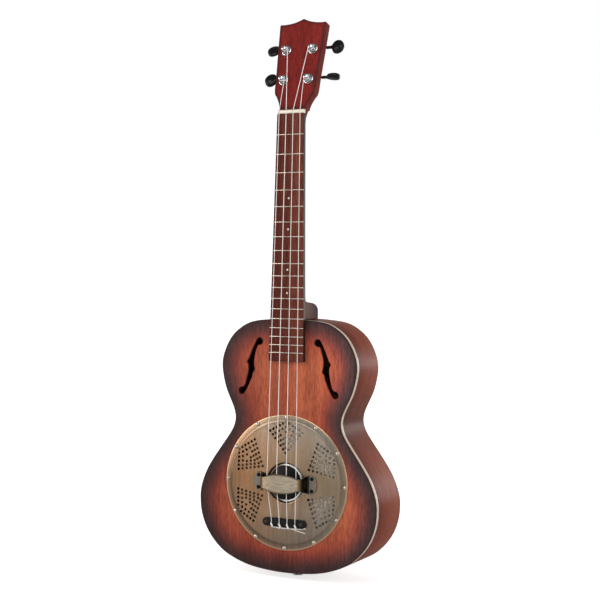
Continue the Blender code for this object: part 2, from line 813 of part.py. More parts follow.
def make_tuner(name, leaning, meshes, ears, holes, bearing):
    """One geared tuner: its plate, sleeve, post, worm shaft and button."""
    x, s = POSTS[name]
    side = 1 if x > 0 else -1
    base = frame(f"{name}_frame", (x, 0.0, s), (0, 0, 0), leaning)
    turn = (0, 0, -side * pi / 2)
    axis = (0.0, WORM_DEPTH, WORM_OFFSET)
    plate = place(f"{name}_plate", meshes["plate"], chrome(), parent=base)
    apply_shape(plate, tool(f"{name}_ears", ears, parent=base), "UNION")
    apply_shape(plate, tool(f"{name}_hole", holes, parent=base))
    apply_shape(plate, tool(f"{name}_bearing", bearing, parent=base, location=axis, rotation=turn))
    place(f"{name}_bushing", meshes["bushing"], chrome(), parent=base)
    place(f"{name}_post", meshes["post"], chrome(), parent=base)
    spindle = frame(f"{name}_axis", axis, turn, base)
    place(f"{name}_shaft", meshes["shaft"], chrome(), parent=spindle)
    place(
        f"{name}_button",
        meshes["button"],
        black_plastic(),
        parent=spindle,
        location=(0, SHAFT_END + GAP, 0),
        rotation=(0, radians(BUTTON_TURN[name]), 0),
    )


def make_tuners(leaning):
    plate, ears = base_plate_parts()
    meshes = {
        "plate": mesh_of("plate", [plate]),
        "bushing": bushing_mesh(),
        "post": post_mesh(),
        "shaft": shaft_mesh(),
        "button": button_mesh(),
    }
    ear_mesh = mesh_of("ears", ears)
    hole_mesh = mesh_of("post_hole", [rod(POST_RADIUS + GAP, 0.0, 0.014, 10)])
    bearing_mesh = mesh_of("bearing", [rod(SHAFT_RADIUS + GAP, -0.0075, 0.0075, 8)])
    for name in POSTS:
        make_tuner(name, leaning, meshes, ear_mesh, hole_mesh, bearing_mesh)


def on_headstock(x, out, s):
    """A point held in front of the headstock's face, in the main frame."""
    lean = HEADSTOCK_LEAN
    return Vector((x, HEADSTOCK_Y + s * sin(lean) - out * cos(lean), s * cos(lean) + out * sin(lean)))


def make_strings():
    """Each string runs from beside its post over the nut and the saddle and round the tailpiece."""
    over_bar = TAILPIECE_FRONT - GAP - STRING_RADIUS
    near, far = TAILPIECE_Z + TAILPIECE_HALF_WIDTH, TAILPIECE_Z - TAILPIECE_HALF_WIDTH
    clear = GAP + STRING_RADIUS
    for k, (x, s) in enumerate(POSTS.values()):
        side = 1 if x > 0 else -1
        offset = k - 1.5
        tail_x = offset * TAIL_SPACING
        route = [
            on_headstock(x - side * (POST_WAIST + clear + 0.0006), -WINDING_DEPTH, s - 0.0005),
            (offset * NUT_SPACING, STRING_Y_NUT, 0.0030),
            (offset * NUT_SPACING, STRING_Y_NUT, 0.0005),
            (offset * SADDLE_SPACING, STRING_Y_SADDLE, SADDLE_Z),
            (tail_x, over_bar, near - 0.0012),
            (tail_x, over_bar, far + 0.0012),
            (tail_x, TAILPIECE_FRONT + 0.0008, far - clear),
            (tail_x, PLATE_FRONT - GAP - clear, far - clear),
        ]
        curve = bpy.data.curves.new(f"string_{k + 1}", "CURVE")
        curve.dimensions = "3D"
        curve.bevel_depth = STRING_RADIUS
        curve.bevel_resolution = 2
        curve.use_fill_caps = True
        line = curve.splines.new("POLY")
        line.points.add(len(route) - 1)
        for point, at in zip(line.points, route):
            point.co = (*at, 1.0)
        place(f"string_{k + 1}", curve, nylon())


def make_strap_button():
    profile = [
        (0.0018, -0.0120),
        (0.0018, GAP),
        (0.0052, GAP),
        (0.0056, 0.0010),
        (0.0036, 0.0028),
        (0.0037, 0.0050),
        (0.0064, 0.0066),
        (0.0062, 0.0078),
        (0.0048, 0.0085),
    ]
    place(
        "strap_button",
        mesh_of("strap_button", [turned(profile, 12)]),
        chrome(),
        location=(0, STRAP_BUTTON_Y, BODY_TAIL),
        rotation=(-pi / 2, 0, 0),
    )


def main():
    clear_scene()
    screw_holes = helper("screw_holes", [rod(0.0014, 0.0, 0.0140, 6, centre) for centre in cover_screw_places()])
    strap_hole = helper(
        "strap_hole",
        [rod(0.0021, -0.0140, 0.0020, 8)],
        location=(0, STRAP_BUTTON_Y, BODY_TAIL),
        rotation=(-pi / 2, 0, 0),
    )
    make_soundboard(screw_holes)
    make_binding()
    make_ribs(strap_hole)
    make_back()
    make_linings_and_blocks(strap_hole)
    make_braces()
    make_resonator(screw_holes)
    make_coverplate(screw_holes)
    make_cover_screws()
    make_handrest()
    make_tailpiece()
    make_fingerboard()
    make_nut()
    make_neck()
    leaning = frame("headstock_frame", (0, HEADSTOCK_Y, 0), (-HEADSTOCK_LEAN, 0, 0))
    make_headstock(leaning)
    make_tuners(leaning)
    make_strings()
    make_strap_button()


main()
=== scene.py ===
"""Looks of the tenor resonator ukulele: woods, brass, chrome, strings, light and camera.

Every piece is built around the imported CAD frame, in metres: X to the right as seen from the
front, -Y out of the front, Z up the neck. Pieces on the headstock are built flat, with (x, depth
behind the face, distance up the face), and then leaned back.
"""

from math import atan, atan2, copysign, cos, pi, radians, sin

import bmesh
import bpy
import numpy as np
from mathutils import Matrix, Quaternion, Vector
from mathutils.geometry import delaunay_2d_cdt


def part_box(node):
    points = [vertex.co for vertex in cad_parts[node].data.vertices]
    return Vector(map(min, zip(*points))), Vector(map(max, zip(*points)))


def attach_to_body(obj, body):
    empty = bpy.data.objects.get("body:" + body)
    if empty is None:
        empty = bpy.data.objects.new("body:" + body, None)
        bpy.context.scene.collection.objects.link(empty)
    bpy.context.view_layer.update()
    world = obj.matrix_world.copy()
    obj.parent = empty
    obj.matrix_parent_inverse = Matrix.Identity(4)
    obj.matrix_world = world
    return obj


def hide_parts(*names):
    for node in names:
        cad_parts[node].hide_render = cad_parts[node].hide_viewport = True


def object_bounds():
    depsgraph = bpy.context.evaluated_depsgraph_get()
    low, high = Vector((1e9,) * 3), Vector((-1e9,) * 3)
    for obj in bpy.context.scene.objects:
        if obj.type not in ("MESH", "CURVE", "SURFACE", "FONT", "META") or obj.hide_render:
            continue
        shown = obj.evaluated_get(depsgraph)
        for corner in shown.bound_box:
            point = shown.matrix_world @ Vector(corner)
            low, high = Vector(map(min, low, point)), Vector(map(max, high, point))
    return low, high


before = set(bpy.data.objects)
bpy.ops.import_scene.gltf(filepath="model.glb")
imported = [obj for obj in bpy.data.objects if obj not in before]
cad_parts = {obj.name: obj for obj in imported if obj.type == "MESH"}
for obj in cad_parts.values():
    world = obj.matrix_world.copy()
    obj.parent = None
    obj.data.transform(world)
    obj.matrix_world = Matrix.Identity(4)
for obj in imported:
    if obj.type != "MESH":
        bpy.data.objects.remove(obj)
cad_low, cad_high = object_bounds()

BODY = "instrument"
NUT_LOW, NUT_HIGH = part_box("nut")
BOARD_LOW, BOARD_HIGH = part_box("fingerboard")
TOP_LOW, TOP_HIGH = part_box("soundboard")
BACK_LOW, BACK_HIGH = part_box("back")
BINDING_LOW, BINDING_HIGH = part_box("binding")
PLATE_LOW, PLATE_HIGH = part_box("coverplate")
BISCUIT_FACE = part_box("biscuit")[0].y
SADDLE_LOW, SADDLE_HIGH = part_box("saddle")
BAR_LOW, BAR_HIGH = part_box("tailpiece")
PLATE_Z = (PLATE_LOW.z + PLATE_HIGH.z) / 2
BAR_Z = (BAR_LOW.z + BAR_HIGH.z) / 2
CROWN_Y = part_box("cone")[0].y + 0.0004

EASE = 0.0006
BACK_THICKNESS = 0.0025
SIDE_THICKNESS = 0.0020
BINDING_WIDTH = BINDING_HIGH.x - TOP_HIGH.x
WELL_RADIUS = 0.0705
F_HOLE_WIDENING = 0.0003

SCALE_LENGTH = 0.4318
FRETS = 18
BODY_FRET = 14
DOTTED_FRETS = (5, 7, 10, 12)
NUT_WIDTH = NUT_HIGH.x - NUT_LOW.x
BODY_FRET_WIDTH = 0.0434

STRING_GAUGES = (0.00080, 0.00092, 0.00084, 0.00074)
STRING_RADIUS = 0.00042
NUT_SPACING = 0.0091
SADDLE_SPACING = 0.0127
TAIL_SPACING = 0.0103
STRING_Y_NUT = -0.0015
STRING_Y_SADDLE = -0.0062

LEAN = atan(0.235)
HEADSTOCK_Y = 0.0040
HEADSTOCK_THICKNESS = 0.0112
HEADSTOCK_FOOT = 0.0066
HEADSTOCK_SIDE = [
    (0.0172, 0.0066), (0.0190, 0.0138), (0.0226, 0.0214), (0.0264, 0.0286), (0.0273, 0.0500),
    (0.0289, 0.0800), (0.0304, 0.1128),
]
HEADSTOCK_CORNER = (0.0301, 0.1137)
HEADSTOCK_CROWN = [(0.0294, 0.1142), (0.0240, 0.1140), (0.0170, 0.1146), (0.0100, 0.1160), (0.0050, 0.1178)]
HEADSTOCK_PEAK = 0.1200

POSTS = {
    "tuner_1": (-0.0163, 0.0430),
    "tuner_2": (-0.0174, 0.0805),
    "tuner_3": (0.0174, 0.0805),
    "tuner_4": (0.0163, 0.0430),
}
BUTTON_TURN = {"tuner_1": 8, "tuner_2": 24, "tuner_3": 0, "tuner_4": 90}
WORM_OFFSET = 0.0070
WORM_DEPTH = 0.0146
SHAFT_END = 0.0170
POST_RADIUS = 0.0029
POST_WAIST = 0.0023
POST_BORE = POST_RADIUS + 0.0002
WINDING_DEPTH = -0.0053
WINDING_TURNS = 3

PLATE_FACE = 0.0042
PLATE_THICKNESS = 0.0008
FLANGE_FACE = PLATE_FACE + 0.0007
PLATE_HOLE = 0.0235
PLATE_FLAT = 0.0712
PERFORATION_RADIUS = 0.0017
KITE_APEX = 0.0350
KITE_PEAK = 0.0718
KITE_CORNER = (0.0600, 0.0210)
KITE_HOLES = ((7, 6), (5, 4), (3, 2))
PIERCED_ANGLES = (30, 90, 150, 210, 330)

REST_THICKNESS = 0.0010
REST_FOOT_Y = 0.0031
FOOT_SCREW = (0.0349, 0.0072)
BAR_SCREWS = 0.0228


# ---------------------------------------------------------------- curves and loops


def between(a, b, c, d, t):
    """A place between b and c on a smooth curve through four points."""
    return 0.5 * (2 * b + (c - a) * t + (2 * a - 5 * b + 4 * c - d) * t**2 + (3 * b - a - 3 * c + d) * t**3)


def smooth_loop(points, steps):
    """A closed curve through the points, with several steps from each to the next."""
    points = [Vector(p) for p in points]
    made = []
    for i in range(len(points)):
        corners = [points[(i + k) % len(points)] for k in (-1, 0, 1, 2)]
        made += [between(*corners, step / steps) for step in range(steps)]
    return made


def smooth_path(points, steps):
    """An open curve through the points."""
    points = [Vector(p) for p in points]
    ends = [2 * points[0] - points[1], *points, 2 * points[-1] - points[-2]]
    made = []
    for i in range(len(points) - 1):
        made += [between(*ends[i : i + 4], step / steps) for step in range(steps)]
    return made + [points[-1]]


def rounded(points, radius, steps=5):
    """A path through corners that are rounded off."""
    points = [Vector(p) for p in points]
    made = [points[0]]
    for a, b, c in zip(points, points[1:], points[2:]):
        near = min(radius, (a - b).length * 0.45, (c - b).length * 0.45)
        start, end = b + (a - b).normalized() * near, b + (c - b).normalized() * near
        for t in (i / steps for i in range(steps + 1)):
            made.append((1 - t) ** 2 * start + 2 * t * (1 - t) * b + t * t * end)
    return made + [points[-1]]


def lerp(a, b, share):
    return a * (1 - share) + b * share


def ring_of(radius, steps, centre=(0.0, 0.0)):
    """A circle of (x, z). The radius may be a function of the step's number."""
    made = []
    for k in range(steps):
        a, r = 2 * pi * k / steps, radius(k) if callable(radius) else radius
        made.append(Vector((centre[0] + r * cos(a), centre[1] + r * sin(a))))
    return made


def plate_ring(radius, steps):
    return ring_of(radius, steps, (0.0, PLATE_Z))


def rounded_box(xs, zs, radius, steps=5):
    loop = []
    for i, j, start in ((1, 1, 0), (0, 1, 90), (0, 0, 180), (1, 0, 270)):
        x, z = xs[i] + radius * (1 - 2 * i), zs[j] + radius * (1 - 2 * j)
        for a in (radians(start + 90 * k / steps) for k in range(steps + 1)):
            loop.append(Vector((x + radius * cos(a), z + radius * sin(a))))
    return loop


def stadium(half_length, half_width, z, steps=12):
    """A bar with round ends."""
    loop = []
    for side in (1, -1):
        centre = side * (half_length - half_width)
        for a in (side * pi / 2 - pi * i / steps for i in range(steps + 1)):
            loop.append(Vector((centre + half_width * cos(a), z + half_width * sin(a))))
    return loop


def superellipse(half_width, depth, squareness, steps=28):
    """A flat-topped section as (x, y), from one edge of the flat round to the other."""
    made = []
    for a in (pi * i / steps for i in range(steps + 1)):
        x = half_width * copysign(abs(cos(a)) ** (2 / squareness), cos(a))
        made.append((x, depth * max(sin(a), 0.0) ** (2 / squareness)))
    return made


def moved_in(loop, distance):
    """A loop of (x, z) that runs clockwise, moved towards its inside."""
    made = []
    for i, point in enumerate(loop):
        along = (loop[(i + 1) % len(loop)] - loop[i - 1]).normalized()
        made.append(point + distance * Vector((along.y, -along.x)))
    return made


def widened(loop, distance):
    """A loop of (x, z) that runs either way, moved towards its outside."""
    area = sum(a.x * b.y - b.x * a.y for a, b in zip(loop, loop[1:] + loop[:1]))
    return moved_in(loop, copysign(distance, area))


def level(loop, y):
    """A loop of (x, z) laid at the depth y, which may be a function of z."""
    return [(p[0], y(p[1]) if callable(y) else y, p[1]) for p in loop]


def face_loops(node, y):
    """The boundary loops of a CAD node's flat face at y, as (x, z)."""
    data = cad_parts[node].data
    edges = set()
    for polygon in data.polygons:
        corners = [data.vertices[i].co for i in polygon.vertices]
        if any(abs(c.y - y) > 1e-5 for c in corners):
            continue
        names = [(round(c.x, 5), round(c.z, 5)) for c in corners]
        for a, b in zip(names, names[1:] + names[:1]):
            edges ^= {(b, a)} if (b, a) in edges else {(a, b)}
    following = dict(edges)
    loops = []
    while following:
        start, point = following.popitem()
        loop = [start]
        while point != start:
            loop.append(point)
            point = following.pop(point)
        loops.append(loop)
    return sorted(loops, key=len, reverse=True)


def cad_outline():
    """The body's outline as (x, z), clockwise from the neck, from the CAD back."""
    places = {(round(v.co.x, 5), round(v.co.z, 5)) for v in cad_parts["back"].data.vertices}
    return sorted(places, key=lambda p: atan2(p[0], p[1] - PLATE_Z) % (2 * pi))


def flat_array(loop):
    return np.array([tuple(p)[:2] for p in loop])


def sides_of(loop):
    """The start and the end of each side of a closed loop."""
    ring = flat_array(loop)
    return zip(ring, np.roll(ring, -1, axis=0))


def even_odd(points, loops):
    """For each point, whether it is inside an odd number of the loops."""
    inside = np.zeros(len(points), bool)
    for (x0, z0), (x1, z1) in (side for loop in loops for side in sides_of(loop)):
        crosses = (z0 > points[:, 1]) != (z1 > points[:, 1])
        if z0 != z1:
            inside ^= crosses & (points[:, 0] < x0 + (points[:, 1] - z0) * (x1 - x0) / (z1 - z0))
    return inside


def distance_to(points, loop):
    """The distance from each (x, z) to a closed loop."""
    nearest = np.full(len(points), 1.0)
    for start, end in sides_of(loop):
        run = end - start
        share = np.clip((points - start) @ run / (run @ run), 0, 1)
        nearest = np.minimum(nearest, np.linalg.norm(points - start - share[:, None] * run, axis=1))
    return nearest


def inner_points(loops, step):
    """A grid of points that keeps clear of every loop."""
    ring = flat_array(loops[0])
    xs, zs = (np.arange(low + step / 2, high, step) for low, high in zip(ring.min(0), ring.max(0)))
    grid = np.array([(x, z) for x in xs for z in zs])
    grid = grid[even_odd(grid, loops)]
    clear = np.min([distance_to(grid, loop) for loop in loops], axis=0)
    return [Vector(p) for p in grid[clear > step * 0.4]]


# ---------------------------------------------------------------- shapes


def leaning():
    """From the headstock's flat frame to the main one."""
    return Matrix.Translation((0, HEADSTOCK_Y, 0)) @ Matrix.Rotation(-LEAN, 4, "X")


def new_object(name, data):
    made = bpy.data.objects.new(name, data)
    bpy.context.scene.collection.objects.link(made)
    return made


class Shape:
    """Points and faces gathered for one mesh. Each face keeps the number of its material."""

    def __init__(self):
        self.points = []
        self.faces = []
        self.looks = []

    def add(self, points, faces, look=0):
        start = len(self.points)
        self.points += [Vector(p) for p in points]
        self.faces += [tuple(start + i for i in face) for face in faces]
        self.looks += [look] * len(faces)
        return self

    def loft(self, sections, closed=False, caps=True, look=0):
        """Skins a row of equal loops."""
        size, rows = len(sections[0]), len(sections)
        faces = []
        for row in range(rows if closed else rows - 1):
            here, there = row * size, (row + 1) % rows * size
            for i in range(size):
                j = (i + 1) % size
                faces.append((here + i, here + j, there + j, there + i))
        if caps and not closed:
            faces += [tuple(range(size)), tuple((rows - 1) * size + i for i in range(size))]
        return self.add([p for section in sections for p in section], faces, look)

    def stack(self, rows, look=0):
        """Skins (loop, depth) pairs and leaves both ends open."""
        return self.loft([level(loop, y) for loop, y in rows], caps=False, look=look)

    def turned(self, profile, steps, centre=(0, 0, 0), look=0, closed=False):
        """A round body about the Y direction, from (radius, y) pairs."""
        x, y0, z = centre
        sections = [level(ring_of(radius, steps, (x, z)), y0 + y) for radius, y in profile]
        return self.loft(sections, closed, look=look)

    def tube(self, path, radius, sides=8):
        """A round tube along a path of points."""
        path = [Vector(p) for p in path]
        across = (path[1] - path[0]).normalized().orthogonal()
        sections = []
        for i, point in enumerate(path):
            along = (path[min(i + 1, len(path) - 1)] - path[max(i - 1, 0)]).normalized()
            across = (across - along * across.dot(along)).normalized()
            up = along.cross(across)
            sections.append([point + p.x * across + p.y * up for p in ring_of(radius, sides)])
        return self.loft(sections)

    def filled(self, loops, surfaces, grid=None, walls=True, back_look=0):
        """A plate between two depths, inside the first loop of (x, z) and outside the rest."""
        points = [Vector(p) for loop in loops for p in loop]
        edges, start = [], 0
        for loop in loops:
            edges += [(start + i, start + (i + 1) % len(loop)) for i in range(len(loop))]
            start += len(loop)
        if grid:
            points += inner_points(loops, grid)
        places, _, faces, *_ = delaunay_2d_cdt(points, edges, [], 1, 1e-7)
        middles = np.array([[sum(places[i][k] for i in f) / 3 for k in (0, 1)] for f in faces])
        kept = [tuple(f) for f, inside in zip(faces, even_odd(middles, loops)) if inside]
        self.add(level(places, surfaces[0]), kept)
        self.add(level(places, surfaces[1]), [f[::-1] for f in kept], back_look)
        for loop in loops if walls else ():
            self.stack([(loop, y) for y in surfaces])
        return self

    def moved(self, placing):
        self.points = [placing @ p for p in self.points]
        return self

    def to_object(self, name, looks, replaces="", body=BODY, slot=None, angle=35, leaned=False):
        """Makes the piece. looks and replaces are names with spaces between them."""
        data = bpy.data.meshes.new(name)
        data.from_pydata([tuple(p) for p in self.points], [], self.faces)
        data.polygons.foreach_set("material_index", self.looks)
        looks = looks.split()
        for look in looks:
            data.materials.append(LOOKS[look])
        work = bmesh.new()
        work.from_mesh(data)
        bmesh.ops.remove_doubles(work, verts=work.verts, dist=2e-6)
        loose = [v for v in work.verts if not v.link_faces]
        bmesh.ops.delete(work, geom=loose, context="VERTS")
        bmesh.ops.recalc_face_normals(work, faces=work.faces)
        work.to_mesh(data)
        work.free()
        if leaned:
            data.transform(leaning())
        data.shade_smooth()
        data.set_sharp_from_angle(angle=radians(angle))
        made = new_object(name, data)
        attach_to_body(made, body)
        if replaces:
            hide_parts(*replaces.split())
        return made


def columns(item, placing=Matrix()):
    """The x, the y and the z of every point of a mesh."""
    return np.array([placing @ v.co for v in item.data.vertices]).T


def attach(item, name, values):
    """Stores one number for each point of a mesh, for its material."""
    item.data.attributes.new(name, "FLOAT", "POINT").data.foreach_set("value", values)


def attach_radius(item):
    x, _, z = columns(item)
    attach(item, "radius", np.hypot(x, z - PLATE_Z))


def slotted_head(shape, centre, radius, height, turn, steps=20):
    """A domed screw head towards -Y, in two halves beside a slot."""
    x0, y0, z0 = centre
    gap = radius * 0.16
    shape.turned([(radius, 0.0), (radius, -height * 0.25), (radius * 0.8, -height * 0.45)], steps, centre)
    half_turn = [radians(-90) + 2 * pi * k / steps for k in range(steps // 2 + 1)]
    for side in (1, -1):
        sections = []
        for size, y in ((1.0, -height * 0.20), (0.97, -height * 0.5), (0.8, -height * 0.85), (0.5, -height)):
            section = []
            for a in half_turn:
                u, v = side * max(radius * size * cos(a), gap), radius * size * sin(a)
                across, up = u * cos(turn) - v * sin(turn), u * sin(turn) + v * cos(turn)
                section.append((x0 + across, y0 + y, z0 + up))
            sections.append(section)
        shape.loft(sections)


# ---------------------------------------------------------------- materials


class Nodes:
    """A node tree, with short calls for the nodes used here."""

    def __init__(self, owner, coordinates):
        owner.use_nodes = True
        self.tree = owner.node_tree
        self.place = self.node("TexCoord", out=coordinates)

    def put(self, node, inputs):
        for socket, value in inputs.items():
            if isinstance(value, bpy.types.NodeSocket):
                self.tree.links.new(value, node.inputs[socket])
            else:
                node.inputs[socket].default_value = value

    def node(self, kind, inputs=None, out=0, **settings):
        made = self.tree.nodes.new("ShaderNode" + kind)
        for key, value in settings.items():
            setattr(made, key, value)
        self.put(made, inputs or {})
        return made.outputs[out]

    def math(self, operation, *values):
        return self.node("Math", dict(enumerate(values)), operation=operation)

    def times(self, first, second):
        return self.math("MULTIPLY", first, second)

    def spread(self, value, low, high, to_low=0.0, to_high=1.0, **settings):
        inputs = {"Value": value, "From Min": low, "From Max": high, "To Min": to_low, "To Max": to_high}
        return self.node("MapRange", inputs, **settings)

    def axis(self, letter):
        return self.node("SeparateXYZ", {0: self.place}, out=letter)

    def along(self, letter, *limits, **settings):
        return self.spread(self.axis(letter), *limits, **settings)


class Look(Nodes):
    """A material with one Principled shader."""

    def __init__(self, name, **uniform):
        self.material = bpy.data.materials.new(name)
        super().__init__(self.material, "Object")
        self.shader = self.tree.nodes["Principled BSDF"]
        self.set(**uniform)

    def set(self, **inputs):
        """Sets the shader's inputs, and gives the material back."""
        for name, value in inputs.items():
            socket = name.replace("_", " ").title().replace("Ior", "IOR")
            self.put(self.shader, {socket: value})
        return self.material

    def noise(self, scale, detail=3.0, roughness=0.5, distortion=0.0):
        """Noise whose features are 1/scale metres along X, Y and Z."""
        scaled = self.node("Mapping", {"Vector": self.place, "Scale": scale})
        inputs = {"Vector": scaled, "Scale": 1.0, "Detail": detail}
        return self.node("TexNoise", {**inputs, "Roughness": roughness, "Distortion": distortion})

    def ramp(self, value, stops, smooth=True):
        """stops are (position, colour) pairs."""
        made = self.tree.nodes.new("ShaderNodeValToRGB")
        made.color_ramp.interpolation = "B_SPLINE" if smooth else "LINEAR"
        elements = made.color_ramp.elements
        while len(elements) < len(stops):
            elements.new(0.5)
        for element, (position, colour) in zip(elements, stops):
            element.position = position
            element.color = (*colour, 1.0)
        self.put(made, {"Fac": value})
        return made.outputs[0]

    def mix(self, share, first, second, blend="MIX"):
        first, second = ((*c, 1.0) if isinstance(c, tuple) else c for c in (first, second))
        return self.node("Mix", {0: share, 6: first, 7: second}, out=2, data_type="RGBA", blend_type=blend)

    def tinted(self, share, base, factors):
        """The base with its red, green and blue multiplied, as far as the share says."""
        return self.mix(share, base, self.mix(1.0, base, factors, "MULTIPLY"))

    def bump(self, height, distance):
        return self.node("Bump", {"Height": height, "Distance": distance, "Strength": 1.0})

    def attribute(self, name):
        return self.node("Attribute", out="Fac", attribute_name=name)


ALONG_Z = (1.0, 1.0, 0.04)
ALONG_X = (0.04, 1.0, 1.0)
STREAKED = (0.8, 0.8, 0.02)
ROUND_SIDE = (0.05, 1.0, 1.0)

NECK_RED = (0.170, 0.040, 0.028)
CUT_RED = (0.220, 0.040, 0.030)


def wood(name, colour, grain, contrast, pores_dark, gloss=0.38, specular=0.22, coat=0.04, place=None):
    """An open-pored wood. colour may be a function, and grain is small along the wood's fibres."""
    look = Look(name, coat_weight=coat, coat_roughness=0.15, specular_ior_level=specular)
    if place:
        look.place = place(look)
    x, y, z = grain
    figure = look.spread(look.noise((x * 60, y * 60, z * 60), 2.0, 0.5, 0.3), 0.3, 0.7)
    lines = look.spread(look.noise((x * 420, y * 420, z * 420), 4.0, 0.65), 0.3, 0.7)
    flecks = look.noise((x * 620, y * 620, z * 2600), 3.0, 0.7)
    pores = look.spread(look.noise((x * 1500, y * 1500, z * 2600), 2.0, 0.5), 0.60, 0.72)
    fine = look.math("ADD", look.times(lines, 0.4), look.spread(flecks, 0.35, 0.65, 0.0, 0.6))
    base = colour(look) if callable(colour) else colour
    shade = look.mix(look.times(fine, contrast), (1.15, 1.15, 1.15), (0.45, 0.38, 0.36))
    bands = look.mix(look.times(figure, contrast * 0.8), (1.1, 1.1, 1.1), (0.66, 0.60, 0.60))
    base = look.mix(1.0, look.mix(1.0, base, shade, "MULTIPLY"), bands, "MULTIPLY")
    base = look.tinted(look.times(pores, pores_dark), base, (0.25, 0.22, 0.22))
    rough = look.math("ADD", look.spread(fine, 0.0, 1.0, gloss - 0.05, gloss + 0.08), look.times(pores, 0.15))
    height = look.math("SUBTRACT", look.times(fine, 0.25), pores)
    return look.set(base_color=base, roughness=rough, normal=look.bump(height, 0.00005))


# Colours of the sunburst at distances from the edge of the body
BURST_WIDTH = 0.060
BURST = [
    (0.0020, (0.038, 0.017, 0.017)),
    (0.0075, (0.066, 0.023, 0.021)),
    (0.0105, (0.092, 0.026, 0.022)),
    (0.0140, (0.135, 0.031, 0.025)),
    (0.0180, (0.195, 0.038, 0.027)),
    (0.0225, (0.275, 0.050, 0.029)),
    (0.0275, (0.345, 0.064, 0.031)),
    (0.0350, (0.385, 0.080, 0.036)),
    (0.0500, (0.420, 0.094, 0.041)),
]


def sunburst(look):
    """Amber in the middle, through red, to dark brown at the edge; paler to the treble side and towards the
    neck, which is painted light.
    """
    wander = look.spread(look.noise((18, 18, 12), 2.0), 0.0, 1.0, -0.003, 0.003)
    inwards = look.math("ADD", look.attribute("from_edge"), wander)
    stops = [(place / BURST_WIDTH, colour) for place, colour in BURST]
    base = look.ramp(look.spread(inwards, 0.0, BURST_WIDTH), stops, smooth=False)
    # Painted light: paler towards the treble side, and more so near the treble edge.
    base = look.tinted(look.along("X", -0.05, 0.06), base, (1.36, 1.48, 1.52))
    base = look.tinted(look.along("X", 0.045, 0.090), base, (1.10, 1.28, 1.32))
    # Painted light: paler towards the neck.
    upper = look.times(look.along("Z", PLATE_Z, TOP_HIGH.z - 0.03), 0.35)
    return look.tinted(upper, base, (1.9, 2.2, 2.3))


def rosewood_brown(look):
    """Darker along the bass edge than along the treble edge."""
    stops = [(0.0, (0.120, 0.017, 0.011)), (0.5, (0.215, 0.047, 0.024)), (1.0, (0.235, 0.070, 0.040))]
    return look.ramp(look.along("X", BOARD_LOW.x, BOARD_HIGH.x), stops)


def headstock_red(look):
    """Red in the middle and nearly black along the edge."""
    stops = [(0.0, (0.070, 0.012, 0.012)), (0.5, (0.210, 0.018, 0.016)), (1.0, (0.270, 0.022, 0.016))]
    return look.ramp(look.spread(look.attribute("from_edge"), 0.0004, 0.0050), stops)


def neck_brown(look):
    """A painted sheen, pale at the front of the heel's side and dark round its back, and redder towards the
    headstock.
    """
    # Painted sheen: pale brown in front, fading to dark brown round the back of the heel and neck.
    depth = look.along("Y", BOARD_HIGH.y + 0.012, BOARD_HIGH.y + 0.040)
    brown = look.mix(depth, (0.200, 0.110, 0.082), (0.055, 0.030, 0.024))
    return look.mix(look.along("Z", -0.10, 0.0), brown, NECK_RED)


def burst_side_with_waist_shade(look):
    """Red-brown, darker beside the binding and paler towards the back, with painted shade darkening the
    waist.
    """
    stops = [(0.0, (0.150, 0.022, 0.010)), (0.35, (0.310, 0.056, 0.024)), (1.0, (0.400, 0.125, 0.070))]
    base = look.ramp(look.along("Y", BINDING_HIGH.y, BACK_HIGH.y), stops)
    # Painted shade at the waist, where the side curves in.
    waist = look.spread(look.attribute("from_waist"), 0.045, 0.0, 0.0, 0.75)
    return look.mix(waist, base, (0.095, 0.045, 0.034))


def along_side(look):
    """Coordinates that follow the side round the body: arc length, depth and nothing."""
    return look.node("CombineXYZ", {0: look.attribute("along"), 1: look.axis("Y"), 2: 0.0})


def metal(name, colour, roughness, tint, smudge=0.06, over=None):
    """A metal with clouds of two colours. over may lay more colour on top of them."""
    look = Look(name, metallic=1.0)
    clouds = look.spread(look.noise((90, 90, 90), 4.0, 0.6), 0.35, 0.65)
    base = look.mix(clouds, colour, tint)
    if over:
        base = over(look, base)
    rough = look.spread(clouds, 0.0, 1.0, roughness, roughness + smudge)
    grain = look.bump(look.noise((1500, 1500, 1500), 2.0), 0.000002)
    return look.set(base_color=base, roughness=rough, normal=grain)


def painted_cone_shade(look, base):
    """Painted shade: brown towards the cone's bass side, and nearly black round the foot of its collar."""
    base = look.mix(look.along("X", 0.001, -0.008), base, (0.20, 0.145, 0.09))
    radius = look.attribute("radius")
    # Painted shade round the foot of the collar.
    foot = look.times(look.spread(radius, 0.0222, 0.0226), look.spread(radius, 0.0390, 0.0340))
    return look.mix(look.times(foot, 0.92), base, (0.02, 0.018, 0.016))


# Painted reflection on the coverplate, from its lower to its upper edge
PLATE_REFLECTION_TONES = [
    (0.05, (0.28, 0.24, 0.19)),
    (0.30, (0.42, 0.335, 0.24)),
    (0.50, (0.38, 0.275, 0.17)),
    (0.75, (0.49, 0.385, 0.275)),
    (0.95, (0.49, 0.435, 0.35)),
]


